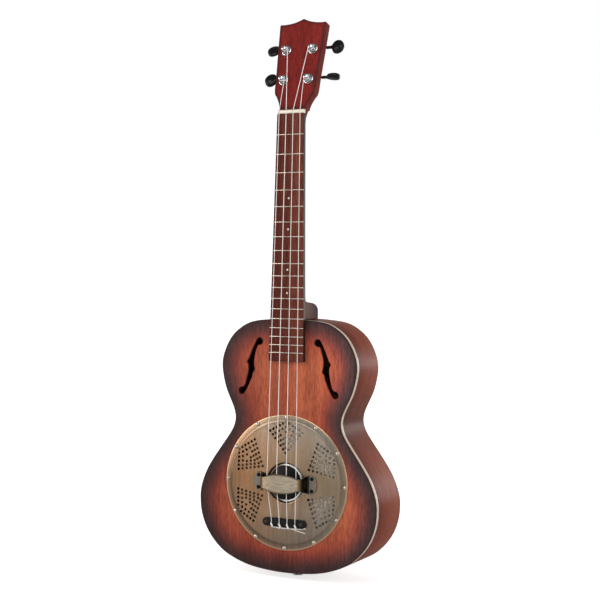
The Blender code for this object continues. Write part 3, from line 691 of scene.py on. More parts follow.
def plate_brass():
    """Brushed antique brass with upright brush lines, under a painted reflection: darker low down, golden to
    the bass side, cooler to the treble side and lighter in the upper treble corner, its edges wandering in
    clouds; painted shade along the bass edge, a painted dark reflection on the slope and a painted highlight
    along the rim.
    """
    look = Look("plate_brass", metallic=1.0)
    clouds = look.spread(look.noise((22, 22, 22), 3.0, 0.6), 0.3, 0.7)
    lines = look.noise((3200, 200, 60), 3.0, 0.65)
    wide = look.noise((330, 60, 5), 3.0, 0.6)
    # Painted reflection: darker low down and lighter high up, its edges wandering in clouds.
    upwards = look.along("Z", PLATE_LOW.z, PLATE_HIGH.z)
    upwards = look.math("ADD", upwards, look.spread(clouds, 0.0, 1.0, -0.06, 0.06))
    # Painted reflection: golden to the bass side and cooler to the treble side.
    sideways = look.along("X", PLATE_LOW.x * 0.7, PLATE_HIGH.x * 0.7)
    warm_to_cool = look.mix(sideways, (1.30, 0.98, 0.79), (1.02, 1.07, 1.14))
    base = look.mix(1.0, look.ramp(upwards, PLATE_REFLECTION_TONES, smooth=False), warm_to_cool, "MULTIPLY")
    # Painted shade along the bass edge.
    base = look.tinted(look.along("X", -0.050, -0.076), base, (0.70, 0.72, 0.78))
    # Painted reflection: lighter and cooler in the upper treble corner.
    corner = look.times(look.along("X", 0.0, 0.05), look.spread(upwards, 0.65, 0.95))
    base = look.tinted(corner, base, (1.12, 1.22, 1.32))
    base = look.tinted(look.spread(wide, 0.3, 0.55, 0.15, 0.0), base, (1.8, 1.8, 1.8))
    thin, broad = look.spread(lines, 0.3, 0.7, 0.0, 0.5), look.spread(wide, 0.45, 0.65, 0.0, 0.12)
    streaks = look.math("ADD", thin, broad)
    base = look.tinted(streaks, base, (0.42, 0.38, 0.34))
    radius = look.attribute("radius")
    # Painted dark reflection on the slope inside the flange, stronger to the bass side.
    slope = look.times(look.spread(radius, 0.0700, 0.0715), look.spread(radius, 0.0765, 0.0740))
    slope = look.times(slope, look.along("X", 0.01, -0.05, 0.2, 0.7))
    base = look.mix(slope, base, (0.10, 0.08, 0.06))
    # Painted highlight: a lighter golden band along the rim, where its edge catches the light.
    base = look.mix(look.spread(radius, 0.0774, 0.0782), base, (0.62, 0.43, 0.26))
    rough = look.spread(streaks, 0.0, 0.85, 0.26, 0.42)
    return look.set(base_color=base, roughness=rough, normal=look.bump(lines, 0.00003))


# Colours of the handrest from where to where along its half length: arris, leg and foot. The arris colour is
# a painted amber reflection along the bend.
REST_TONES = [
    (0.0215, 0.0232, (0.34, 0.22, 0.10)),
    (0.0238, 0.0262, (0.020, 0.016, 0.012)),
    (0.0310, 0.0325, (0.28, 0.25, 0.21)),
]


def handrest_brass():
    """Brushed along X, darker along its edges, with a painted amber reflection where it bends, and nearly
    black down the legs.
    """
    look = Look("handrest_brass", metallic=1.0)
    lines = look.noise((60, 2500, 2500), 3.0, 0.65)
    clouds = look.spread(look.noise((60, 60, 200), 3.0, 0.6), 0.3, 0.7)
    base = look.mix(clouds, (0.74, 0.62, 0.46), (0.60, 0.50, 0.37))
    base = look.tinted(look.along("X", -0.014, 0.012), base, (1.25, 1.30, 1.34))
    base = look.mix(look.spread(lines, 0.35, 0.7, 0.0, 0.8), base, (0.13, 0.10, 0.07))
    edge = look.spread(look.math("ABSOLUTE", look.attribute("across")), 0.80, 0.95)
    base = look.mix(look.times(edge, 0.75), base, (0.10, 0.07, 0.045))
    outwards = look.math("ABSOLUTE", look.axis("X"))
    # The arris tone is a painted amber reflection along the bend.
    for start, end, colour in REST_TONES:
        base = look.mix(look.spread(outwards, start, end), base, colour)
    rough = look.spread(lines, 0.3, 0.7, 0.22, 0.36)
    return look.set(base_color=base, roughness=rough, normal=look.bump(lines, 0.00002))


def cream(name, pale, vein):
    look = Look(name, coat_weight=0.3, coat_roughness=0.15, subsurface_weight=0.15,
                subsurface_radius=(0.002, 0.0015, 0.001), subsurface_scale=0.5)
    veins = look.spread(look.noise((250, 250, 250), 4.0, 0.6), 0.3, 0.7)
    rough = look.spread(veins, 0.0, 1.0, 0.28, 0.40)
    return look.set(base_color=look.mix(veins, pale, vein), roughness=rough, normal=look.bump(veins, 0.00001))


def black(name, roughness):
    look = Look(name, coat_weight=0.08, coat_roughness=0.08, specular_ior_level=0.16)
    dust = look.spread(look.noise((700, 700, 700), 3.0), 0.4, 0.8)
    base = look.mix(dust, (0.006, 0.006, 0.006), (0.011, 0.010, 0.011))
    rough = look.spread(dust, 0.0, 1.0, roughness, roughness + 0.12)
    return look.set(base_color=base, roughness=rough, normal=look.bump(dust, 0.000004))


def nylon():
    look = Look("nylon", coat_weight=0.3, coat_roughness=0.1, subsurface_weight=0.3,
                subsurface_radius=(0.001, 0.001, 0.001), subsurface_scale=0.3)
    cloudy = look.noise((300, 300, 60), 2.0)
    base = look.mix(cloudy, (1.0, 0.96, 0.93), (0.90, 0.86, 0.83))
    return look.set(base_color=base, roughness=look.spread(cloudy, 0.3, 0.7, 0.22, 0.32))


def pearl():
    look = Look("pearl_dot", coat_weight=0.6, coat_roughness=0.08)
    swirl = look.spread(look.noise((500, 500, 300), 3.0, 0.5, 1.5), 0.3, 0.7)
    base = look.mix(swirl, (0.86, 0.82, 0.74), (0.66, 0.60, 0.54))
    return look.set(base_color=base, roughness=look.spread(swirl, 0.0, 1.0, 0.2, 0.35))


LOOKS = {
    "top": wood("sunburst_mahogany", sunburst, ALONG_Z, 0.95, 0.7),
    "top_edge": wood("sunburst_edge", BURST[0][1], ALONG_Z, 0.3, 0.3),
    "side": wood("side_mahogany", burst_side_with_waist_shade, ROUND_SIDE, 0.70, 0.6, 0.42, 0.10, 0.0, along_side),
    "back": wood("back_mahogany", (0.270, 0.090, 0.055), ALONG_Z, 0.5, 0.6),
    "neck": wood("neck_mahogany", neck_brown, ALONG_Z, 0.6, 0.6, 0.5, 0.03, 0.0),
    "headstock": wood("headstock_mahogany", headstock_red, STREAKED, 1.0, 0.5, 0.38, 0.10, 0.03),
    "headstock_back": wood("headstock_back_mahogany", NECK_RED, ALONG_Z, 0.6, 0.6, 0.45, 0.08, 0.0),
    "headstock_side": wood("headstock_side_mahogany", CUT_RED, ALONG_Z, 0.6, 0.5, 0.60, 0.06, 0.0),
    "fingerboard": wood("rosewood", rosewood_brown, STREAKED, 1.2, 0.7, 0.45, 0.14, 0.0),
    "board_side": wood("rosewood_side", (0.034, 0.015, 0.011), ALONG_Z, 0.6, 0.5, 0.4, 0.2, 0.0),
    "bare": wood("bare_wood", (0.10, 0.065, 0.036), ALONG_Z, 0.4, 0.3, 0.6, 0.2, 0.0),
    "saddle": wood("saddle_maple", (0.62, 0.50, 0.36), ALONG_X, 0.3, 0.2, 0.4, 0.4, 0.0),
    "ebony": wood("ebonised_wood", (0.008, 0.007, 0.007), ALONG_X, 0.3, 0.3, 0.35, 0.15, 0.02),
    "cream": cream("cream_binding", (0.84, 0.70, 0.54), (0.74, 0.58, 0.42)),
    "bone": cream("cream_nut", (0.95, 0.87, 0.74), (0.90, 0.80, 0.66)),
    "plate": plate_brass(),
    "rest": handrest_brass(),
    "bronze": metal("dark_bronze", (0.10, 0.085, 0.07), 0.28, (0.06, 0.05, 0.045)),
    "cone": metal("spun_aluminium", (1.0, 1.0, 1.0), 0.50, (0.90, 0.90, 0.90), 0.10, painted_cone_shade),
    "chrome": metal("chrome", (0.62, 0.65, 0.67), 0.07, (0.52, 0.56, 0.58)),
    "wheel": metal("wheel_brass", (0.60, 0.42, 0.19), 0.24, (0.48, 0.33, 0.15)),
    "dark_chrome": metal("dark_chrome", (0.16, 0.16, 0.17), 0.18, (0.10, 0.10, 0.11)),
    "nickel": metal("nickel_silver", (0.74, 0.67, 0.58), 0.24, (0.62, 0.55, 0.47)),
    "black_metal": black("black_lacquer", 0.35),
    "black_plastic": black("black_plastic", 0.18),
    "string": nylon(),
    "pearl": pearl(),
}


# ---------------------------------------------------------------- body


OUTLINE = smooth_loop(cad_outline(), 3)
WAIST_Z = min((p for p in OUTLINE if PLATE_Z < p.y < PLATE_Z + 0.13), key=lambda p: abs(p.x)).y


def slope_of_back():
    """The line y = a + b z through the CAD back's outer face."""
    corners = [v.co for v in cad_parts["back"].data.vertices]
    top = max(corners, key=lambda c: (round(c.z, 5), c.y))
    tail = min(corners, key=lambda c: (round(c.z, 5), -c.y))
    rise = (tail.y - top.y) / (tail.z - top.z)
    return top.y - rise * top.z, rise


BACK_START, BACK_RISE = slope_of_back()


def back_y(z, depth=0.0):
    """The back's outer surface, or the surface that lies a depth inside it."""
    return BACK_START + BACK_RISE * z - depth


def inside_back(depth):
    return lambda z: back_y(z, depth)


def is_f_hole(loop):
    xs, zs = zip(*loop)
    return min(abs(x) for x in xs) > 0.02 and max(zs) > PLATE_Z + 0.1 and len(loop) > 20


def make_soundboard():
    outer = moved_in(OUTLINE, BINDING_WIDTH)
    f_holes = [smooth_loop(loop, 3) for loop in face_loops("soundboard", TOP_LOW.y) if is_f_hole(loop)]
    holes = [plate_ring(WELL_RADIUS, 120), *(widened(loop, F_HOLE_WIDENING) for loop in f_holes)]
    board = Shape().filled([outer, *holes], (TOP_LOW.y, TOP_HIGH.y), grid=0.0045)
    item = board.to_object("soundboard_panel", "top", "soundboard")
    x, _, z = columns(item)
    attach(item, "from_edge", distance_to(np.column_stack((x, z)), OUTLINE))


def make_binding():
    """The cream strip, whose front face is stained like the soundboard's edge."""
    front, back = BINDING_LOW.y, BINDING_HIGH.y
    inner = moved_in(OUTLINE, BINDING_WIDTH)
    arris = (OUTLINE, front + EASE)
    strip = Shape().stack([(inner, front), (moved_in(OUTLINE, 0.0005), front), arris])
    strip.stack([arris, (OUTLINE, back), (inner, back), (inner, front)], look=1)
    strip.to_object("binding_strip", "top_edge cream", "binding", slot="cream_binding", angle=50)


def make_side():
    front = BINDING_HIGH.y
    sections = []
    for outer, inner in zip(OUTLINE, moved_in(OUTLINE, SIDE_THICKNESS)):
        end = back_y(outer.y, BACK_THICKNESS)
        section = [(outer.x, front + (end - front) * k / 8, outer.y) for k in range(9)]
        sections.append(section + [(inner.x, end, inner.y), (inner.x, front, inner.y)])
    item = Shape().loft(sections, closed=True).to_object("body_side", "side", "rib_bass rib_treble")
    lengths = np.cumsum([0] + [(b - a).length for a, b in zip(OUTLINE, OUTLINE[1:])])
    ring = flat_array(OUTLINE)
    x, _, z = columns(item)
    nearest = [int(np.argmin((ring[:, 0] - a) ** 2 + (ring[:, 1] - b) ** 2)) for a, b in zip(x, z)]
    attach(item, "along", [min(lengths[i], lengths[-1] - lengths[i]) for i in nearest])
    attach(item, "from_waist", abs(z - WAIST_Z))


def make_back():
    """The flat back in two halves, with an eased edge and a dark centre line."""
    rim = moved_in(OUTLINE, 0.0030)
    edge, outside, inside = inside_back(0.0008), inside_back(0.0), inside_back(BACK_THICKNESS)
    back = Shape().stack([(OUTLINE, inside), (OUTLINE, edge)])
    half_eased, eased = (moved_in(OUTLINE, 0.0004), inside_back(0.0002)), (moved_in(OUTLINE, 0.0012), outside)
    back.stack([(OUTLINE, edge), half_eased, eased, (rim, outside)])
    back.filled([rim], (outside, inside), grid=0.006, walls=False)
    back.stack([(rim, inside), (OUTLINE, inside)])
    back.to_object("back_panel", "back", "back")
    half, low, high = 0.0009, BACK_LOW.z + 0.001, BACK_HIGH.z - 0.001
    corners = [(-half, low), (half, low), (half, high), (-half, high)]
    seam = Shape().loft([level(corners, inside_back(depth)) for depth in (0.0005, -0.00005)])
    seam.to_object("back_centre_strip", "ebony")


# ---------------------------------------------------------------- neck


# The neck's height, depth and squareness, from the joint's foot up to below the headstock
NECK_STATIONS = [
    (-0.2392, 0.0600, 2.6), (-0.2310, 0.0600, 2.6), (-0.2272, 0.0590, 2.6), (-0.2242, 0.0560, 2.5),
    (-0.2220, 0.0510, 2.4), (-0.2207, 0.0440, 2.3), (-0.2199, 0.0320, 2.1), (-0.2192, 0.0220, 2.0),
    (-0.2170, 0.0172, 1.9), (-0.2090, 0.0162, 1.85), (-0.1980, 0.0157, 1.85), (-0.1200, 0.0146, 1.85),
    (-0.0400, 0.0134, 1.85), (-0.0140, 0.0131, 1.85),
]
FOOT_SQUARENESS = 7.0


def fret_z(number):
    return -SCALE_LENGTH * (1 - 2 ** (-number / 12))


def board_half_width(z):
    return (NUT_WIDTH + (BODY_FRET_WIDTH - NUT_WIDTH) * z / fret_z(BODY_FRET)) / 2


def string_x(k, spacing):
    return (k - 1.5) * spacing


def notches(spacing, surface, bottom):
    """Places (x, y) along a bar whose surface has a slot under each string."""
    width = STRING_RADIUS + 0.0001
    made = []
    for x in (string_x(k, spacing) for k in range(4)):
        made += [(x - width - 0.0001, surface), (x - width, bottom)]
        made += [(x + width, bottom), (x + width + 0.0001, surface)]
    return made


def on_face(x, out, s):
    """A point held in front of the headstock's face, in the main frame."""
    return leaning() @ Vector((x, -out, s))


def make_neck():
    """The shaft and its heel, and then a bend that grows into the headstock's foot."""
    start = BOARD_HIGH.y + 0.0003
    sections = []
    for z, depth, squareness in smooth_path(NECK_STATIONS, 4):
        ring = superellipse(board_half_width(z) - 0.0012, depth, squareness)
        sections.append([(x, start + y, z) for x, y in ring])
    end_z, end_depth, end_squareness = NECK_STATIONS[-1]
    foot = on_face(0.0, 0.0, HEADSTOCK_FOOT)
    for share in (0.25, 0.5, 0.65, 0.8, 0.9, 1.0):
        z, y0, lean = lerp(end_z, foot.z, share), lerp(start, foot.y, share), LEAN * share
        squareness = lerp(end_squareness, FOOT_SQUARENESS, share**4)
        depth = lerp(end_depth, HEADSTOCK_THICKNESS, share)
        ring = superellipse(NUT_WIDTH / 2 - 0.0009 * (1 - share), depth, squareness)
        sections.append([(x, y0 + y * cos(lean), z - y * sin(lean)) for x, y in ring])
    Shape().loft(sections).to_object("neck_shaft", "neck", "neck", angle=50)


def headstock_outline():
    right = smooth_path(HEADSTOCK_SIDE, 5) + [Vector(HEADSTOCK_CORNER)] + smooth_path(HEADSTOCK_CROWN, 3)
    left = [Vector((-p.x, p.y)) for p in reversed(right)]
    return [*right, Vector((0.0, HEADSTOCK_PEAK)), *left][::-1]


def make_headstock():
    """The face plate with eased edges and holes for the tuners' sleeves, in the leaned frame."""
    outer = headstock_outline()
    thick, eased = HEADSTOCK_THICKNESS, moved_in(outer, EASE)
    holes = [ring_of(0.0041, 24, place) for place in POSTS.values()]
    plate = Shape().filled([eased, *holes], (0.0, thick), grid=0.003, back_look=3)
    plate.stack([(eased, 0.0), (moved_in(outer, 0.0002), 0.00015), (outer, EASE)], look=1)
    plate.stack([(outer, EASE), (outer, thick - EASE), (eased, thick)], look=2)
    looks = "headstock top_edge headstock_side headstock_back"
    item = plate.to_object("headstock_plate", looks, "headstock", leaned=True)
    x, _, z = columns(item, leaning().inverted())
    attach(item, "from_edge", distance_to(np.column_stack((x, z)), outer))


def make_fingerboard():
    """The board with eased edges, a set of frets and the position dots."""
    face, end = BOARD_LOW.y + 0.0009, BOARD_LOW.z
    rows = 24
    stations = [(-0.0001 + (end + 0.0009) * k / rows, face) for k in range(rows + 1)] + [(end, face + EASE)]
    sections = []
    for z, surface in stations:
        half = board_half_width(z)
        section = [(half, BOARD_HIGH.y), (half, surface + EASE), (half - EASE, surface), (0.0, surface)]
        section += [(-x, y) for x, y in reversed(section[:-1])]
        sections.append([(x, y, z) for x, y in section])
    board = Shape().loft(sections)
    size, sides = len(sections[0]), (0, 1, 5, 6)
    # The sides and the eased end take the near-black rosewood; on the eased end it stands in for a shadow
    # line, a painted shadow.
    board.looks = [int(f[0] % size in sides or f[0] >= rows * size) for f in board.faces]
    board.to_object("fingerboard_wood", "fingerboard board_side", "fingerboard")
    frets = Shape()
    crown = [(cos(a) * 0.0006, -0.0007 * sin(a)) for a in (pi * i / 8 for i in range(9))]
    for z in (fret_z(number) for number in range(1, FRETS + 1)):
        half = board_half_width(z)
        ends = ((-half, 0.35), (-half + 0.0007, 1.0), (half - 0.0007, 1.0), (half, 0.35))
        frets.loft([[(x, face + y * height, z + d) for d, y in crown] for x, height in ends])
    frets.to_object("frets", "nickel")
    dots = Shape()
    for number in DOTTED_FRETS:
        z = (fret_z(number) + fret_z(number - 1)) / 2
        dots.turned([(0.0012, 0.0005), (0.0012, -0.00005), (0.0011, -0.00009)], 24, (0, face, z))
    dots.to_object("position_dots", "pearl")


def make_nut():
    """A rounded bar with a slot under each string."""
    half, face, low, high = NUT_WIDTH / 2, NUT_LOW.y, NUT_LOW.z, NUT_HIGH.z
    places = [(-half + 0.0010, face + 0.0005), (-half + 0.0018, face)]
    places += notches(NUT_SPACING, face, STRING_Y_NUT + STRING_RADIUS)
    places += [(half - 0.0006, face), (half, face + 0.0005)]
    sections = []
    for x, top in places:
        profile = [(NUT_HIGH.y, low), (top + 0.0009, low), (top + 0.0002, low + 0.0007), (top, low + 0.0019)]
        profile += [(top + 0.0003, high - 0.0014), (top + 0.0010, high - 0.0005), (top + 0.0019, high)]
        sections.append([(x, y, z) for y, z in [*profile, (NUT_HIGH.y, high)]])
    Shape().loft(sections).to_object("nut_bar", "bone", "nut")


# ---------------------------------------------------------------- resonator


def perforations():
    """Hole centres (x, z) of every pierced group, each a nest of ever smaller kites."""
    apex, peak = Vector((KITE_APEX, 0.0)), Vector((KITE_PEAK, 0.0))
    middle = (apex + peak) / 2
    group = {(round(middle.x, 6), 0.0)}
    for inner, outer in KITE_HOLES:
        shrink = (inner - 1) / (KITE_HOLES[0][0] - 1)
        for side in (1, -1):
            corner = Vector((KITE_CORNER[0], side * KITE_CORNER[1]))
            for start, holes in ((apex, inner), (peak, outer)):
                for i in range(holes):
                    place = middle.lerp(start.lerp(corner, i / (holes - 1)), shrink)
                    group.add((round(place.x, 6), round(place.y, 6) + 0.0))
    places = []
    for a in map(radians, PIERCED_ANGLES):
        places += [(p * cos(a) - q * sin(a), PLATE_Z + p * sin(a) + q * cos(a)) for p, q in sorted(group)]
    return places


# The coverplate's flange and rim as (radius, depth), and its inner lip, as depths under its face
PLATE_RIM = [
    (PLATE_FLAT, 0.0), (0.0718, 0.00005), (0.0724, 0.00025), (0.0732, 0.00055), (0.0739, 0.0007),
    (0.0783, 0.0007), (0.0790, 0.0008), (0.0794, 0.0011), (0.0794, TOP_LOW.y - PLATE_FACE),
    (0.0700, TOP_LOW.y - PLATE_FACE),
]
PLATE_LIP = [
    (PLATE_HOLE + 0.0008, 0.0), (PLATE_HOLE + 0.0002, 0.0002), (PLATE_HOLE, 0.0007), (PLATE_HOLE, 0.0016),
]


def make_coverplate():
    holes = [ring_of(PERFORATION_RADIUS, 12, place) for place in perforations()]
    loops = [plate_ring(PLATE_FLAT, 160), plate_ring(PLATE_LIP[0][0], 96), *holes]
    plate = Shape().filled(loops, (PLATE_FACE, PLATE_FACE + PLATE_THICKNESS))
    for profile, steps in ((PLATE_LIP, 96), (PLATE_RIM, 160)):
        plate.stack([(plate_ring(radius, steps), PLATE_FACE + depth) for radius, depth in profile])
    attach_radius(plate.to_object("coverplate_pierced", "plate", "coverplate", angle=30))


def make_cover_screws():
    screws = Shape()
    names = [f"coverplate_screw_{i + 1:02d}" for i in range(12)]
    for i, name in enumerate(names):
        middle = sum(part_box(name), Vector((0, 0, 0))) / 2
        slotted_head(screws, (middle.x, FLANGE_FACE, middle.z), 0.0023, 0.0014, 0.7 + i * 1.9)
    screws.to_object("coverplate_screws", "nickel", " ".join(names))


# The cone as (radius, y): crown, collar, bowl and foot
CONE = [
    (0.0010, CROWN_Y), (0.0198, CROWN_Y), (0.0200, 0.0080), (0.0201, 0.0060), (0.0204, 0.0055),
    (0.0219, 0.0055), (0.0222, 0.0060), (0.0223, 0.0080), (0.0230, 0.0100), (0.0250, 0.0112),
    (0.0300, 0.0111), (0.0450, 0.0096), (0.0600, 0.0080), (0.0640, 0.0085), (0.0660, 0.0110),
    (0.0700, 0.0112),
]
CONE_THICKNESS = 0.0006


def make_resonator():
    """The spun cone, and the biscuit with the saddle on its crown."""
    centre = (0, 0, PLATE_Z)
    front = [tuple(p) for p in smooth_path(CONE, 3)]
    behind = [(radius, y + CONE_THICKNESS) for radius, y in reversed(front)]
    cone = Shape().turned(front + behind, 120, centre, closed=True)
    attach_radius(cone.to_object("cone_spun", "cone", "cone", angle=50))
    face = BISCUIT_FACE
    disc = [(0.0001, face), (0.0187, face), (0.0193, face + 0.0003), (0.0195, face + 0.0009)]
    disc.append((0.0195, CROWN_Y - 0.0002))
    Shape().turned(disc, 96, centre).to_object("biscuit_disc", "ebony", "biscuit")
    half, thick, face = SADDLE_HIGH.x, (SADDLE_HIGH.z - SADDLE_LOW.z) / 2, SADDLE_LOW.y
    end = [(-half, face + 0.0016), (-half + 0.0012, face + 0.0003), (-half + 0.003, face)]
    places = sorted(end + notches(SADDLE_SPACING, face, face + 0.0011) + [(-x, y) for x, y in end])
    sections = []
    for x, top in places:
        profile = [(BISCUIT_FACE, -thick), (top + EASE, -thick), (top, -thick / 2), (top, thick / 2)]
        profile += [(top + EASE, thick), (BISCUIT_FACE, thick)]
        sections.append([(x, y, PLATE_Z + z) for y, z in profile])
    Shape().loft(sections).to_object("saddle_board", "saddle", "saddle")


# Half of the handrest, from its middle to the end of a foot: x, y of the outer face, half width
REST_PATH = [
    (0.0000, -0.0098, 0.0113), (0.0080, -0.0097, 0.0108), (0.0160, -0.0094, 0.0092),
    (0.0228, -0.0088, 0.0070), (0.0263, -0.0074, 0.0074), (0.0283, -0.0045, 0.0082),
    (0.0290, -0.0005, 0.0093), (0.0300, 0.0020, 0.0102), (0.0320, REST_FOOT_Y, 0.0110),
    (0.0360, REST_FOOT_Y, 0.0108), (0.0388, REST_FOOT_Y, 0.0084), (0.0404, REST_FOOT_Y, 0.0052),
    (0.0410, REST_FOOT_Y, 0.0018),
]


def make_handrest():
    """A strap over the strings, bent down to two feet that are screwed to the coverplate."""
    half = smooth_path(REST_PATH, 4)
    path = [Vector((-p.x, p.y, p.z)) for p in reversed(half[1:])] + half
    thick, ease = REST_THICKNESS, 0.0003
    edge = [(0.0, 1, ease), (0.0, -1, ease)]
    edge += [(ease, -1, 0.0), (thick, -1, 0.0), (thick, 1, 0.0), (ease, 1, 0.0)]
    sections = []
    for i, point in enumerate(path):
        before, after = path[max(i - 1, 0)], path[min(i + 1, len(path) - 1)]
        run = Vector((after.x - before.x, after.y - before.y)).normalized()
        section = []
        for deep, side, less in edge:
            z = PLATE_Z + side * (point.z - less)
            section.append((point.x - run.y * deep, point.y + run.x * deep, z))
        sections.append(section)
    item = Shape().loft(sections).to_object("handrest_bridge", "rest", "handrest", angle=30)
    attach(item, "across", np.where(columns(item)[2] > PLATE_Z, 1.0, -1.0))
    screws = Shape()
    for x in (FOOT_SCREW[0], -FOOT_SCREW[0]):
        for z in (PLATE_Z + FOOT_SCREW[1], PLATE_Z - FOOT_SCREW[1]):
            slotted_head(screws, (x, REST_FOOT_Y, z), 0.0024, 0.0011, 0.4)
    screws.to_object("handrest_screws", "black_metal")


def make_tailpiece():
    half, width, face = (BAR_HIGH.x - BAR_LOW.x) / 2, (BAR_HIGH.z - BAR_LOW.z) / 2, BAR_LOW.y
    rows = [(0.0022, face), (0.0012, face + 0.0001), (0.0004, face + 0.0006), (0.0, face + 0.0014)]
    rows.append((0.0, PLATE_FACE))
    bar = Shape().loft([level(stadium(half - inset, width - inset, BAR_Z), y) for inset, y in rows])
    bar.to_object("tailpiece_bar", "black_metal", "tailpiece", angle=50)
    screws = Shape()
    for side in (1, -1):
        slotted_head(screws, (side * BAR_SCREWS, face, BAR_Z), 0.0021, 0.0009, 0.5 * side)
    screws.to_object("tailpiece_screws", "bronze")


# ---------------------------------------------------------------- strings and tuners


def make_strings():
    """Each string runs from beside its post over the nut and the saddle and round the tailpiece."""
    over_bar = BAR_LOW.y - STRING_RADIUS
    near, far = BAR_HIGH.z, BAR_LOW.z
    beside = POST_WAIST + 2 * STRING_RADIUS + 0.0005
    for k, (x, s) in enumerate(POSTS.values()):
        nut_x, tail_x = string_x(k, NUT_SPACING), string_x(k, TAIL_SPACING)
        route = [
            on_face(x - copysign(beside, x), -WINDING_DEPTH, s + 0.001),
            (nut_x, STRING_Y_NUT, 0.0036),
            (nut_x, STRING_Y_NUT, 0.0002),
            (string_x(k, SADDLE_SPACING), STRING_Y_SADDLE, PLATE_Z),
            (tail_x, over_bar, near - 0.0010),
            (tail_x, over_bar, far + 0.0010),
            (tail_x, BAR_LOW.y + 0.0012, far - STRING_RADIUS - 0.0001),
            (tail_x, PLATE_FACE - STRING_RADIUS, far - STRING_RADIUS - 0.0002),
        ]
        strand = Shape().tube(rounded(route, 0.0015), STRING_GAUGES[k] / 2, 10)
        strand.to_object(f"string_{k + 1}_strand", "string", f"string_{k + 1}")


# The loose ends: thickness, steps and a path of x, height over the plate, distance from the bar's lower edge
LOOSE_ENDS = [
    (0.0007, 8, [
        (-0.0140, 0.0, -0.0006), (-0.0040, 0.0003, -0.0016), (0.0120, 0.0002, -0.0010),
        (0.0230, 0.0004, -0.0002), (0.0280, 0.0010, 0.0010),
    ]),
    (STRING_RADIUS, 8, [(0.0060, 0.0, -0.0008), (0.0150, 0.0002, -0.0026), (0.0278, 0.0008, -0.0048)]),
    (STRING_RADIUS, 6, [(0.0040, 0.0, -0.0004), (0.0047, 0.0006, -0.0021)]),
]


def make_ties():
    """The knots under the bar: a wrap beside each string, and loose ends that lie on the plate."""
    lying, low, front = PLATE_FACE - STRING_RADIUS, BAR_LOW.z, BAR_LOW.y
    over_bar = front - STRING_RADIUS
    ends = Shape()
    for x in (string_x(k, TAIL_SPACING) for k in range(4)):
        wrap = [(x - 0.0006, over_bar, low + 0.0040), (x + 0.0012, over_bar - 0.0002, low + 0.0012)]
        wrap += [(x + 0.0010, front + 0.0008, low - 0.0006), (x + 0.0014, lying, low - 0.0010)]
        ends.tube(smooth_path(wrap, 6), 0.0010)
    for radius, steps, path in LOOSE_ENDS:
        ends.tube(smooth_path([(x, lying - up, low + z) for x, up, z in path], steps), radius)
    ends.to_object("string_ends", "string")


def make_bushing(name):
    """A washer, a six-sided nut and a sleeve through the headstock."""
    x, s = POSTS[name]
    centre, bore, steps = (x, 0.0, s), POST_BORE, 36
    piece = Shape()
    washer = [(bore, -0.0001), (0.0056, -0.0001), (0.0061, -0.0004), (0.0062, -0.0008), (0.0058, -0.0011)]
    piece.turned([*washer, (bore, -0.0012)], steps, centre, closed=True)
    sections = []
    for flat, y in ((0.0047, -0.0011), (0.0049, -0.0013), (0.0049, -0.0026), (0.0046, -0.0031)):
        corner = [flat / cos(2 * pi * k / steps % (pi / 3) - pi / 6) for k in range(steps)]
        sections.append(level(ring_of(lambda k: corner[k], steps, (x, s)), y))
    sections += [level(ring_of(bore, steps, (x, s)), y) for y in (-0.0031, -0.0011)]
    piece.loft(sections, closed=True)
    sleeve = [(bore, -0.0031), (0.0036, -0.0032), (0.0038, -0.0030), (0.0038, 0.0100), (bore, 0.0100)]
    piece.turned(sleeve, 28, centre, closed=True)
    piece.to_object(f"{name}_hex_bushing", "chrome", f"{name}_bushing", leaned=True)


def make_base_plate(name):
    """The plate on the headstock's back, two bearing ears and a small screw."""
    x, s = POSTS[name]
    back, outside = HEADSTOCK_THICKNESS, HEADSTOCK_THICKNESS + 0.0013
    outline = rounded_box((x - 0.0066, x + 0.0066), (s - 0.0095, s + 0.0130), 0.0022)
    piece = Shape().filled([outline, ring_of(POST_RADIUS + 0.0003, 24, (x, s))], (back, outside))
    ear = [
        (back + 0.001, 0.0040), (0.0158, 0.0040), (0.0172, 0.0052),
        (0.0172, 0.0088), (0.0158, 0.0100), (back + 0.001, 0.0100),
    ]
    for middle in (x + 0.0058, x - 0.0058):
        piece.loft([[(middle + d, y, s + z) for y, z in ear] for d in (-0.0006, 0.0006)])
    piece.to_object(f"{name}_base", "chrome", f"{name}_plate", leaned=True)
    screw = Shape()
    slotted_head(screw, (0.0, 0.0, 0.0), 0.0017, 0.0009, 0.6)
    screw.moved(Matrix.Translation((x, outside, s - 0.0066)) @ Matrix.Scale(-1, 4, (0, 1, 0)))
    screw.to_object(f"{name}_screw", "chrome", leaned=True)


TEETH = 14
WHEEL_TIP, WHEEL_ROOT = 0.0049, 0.0044


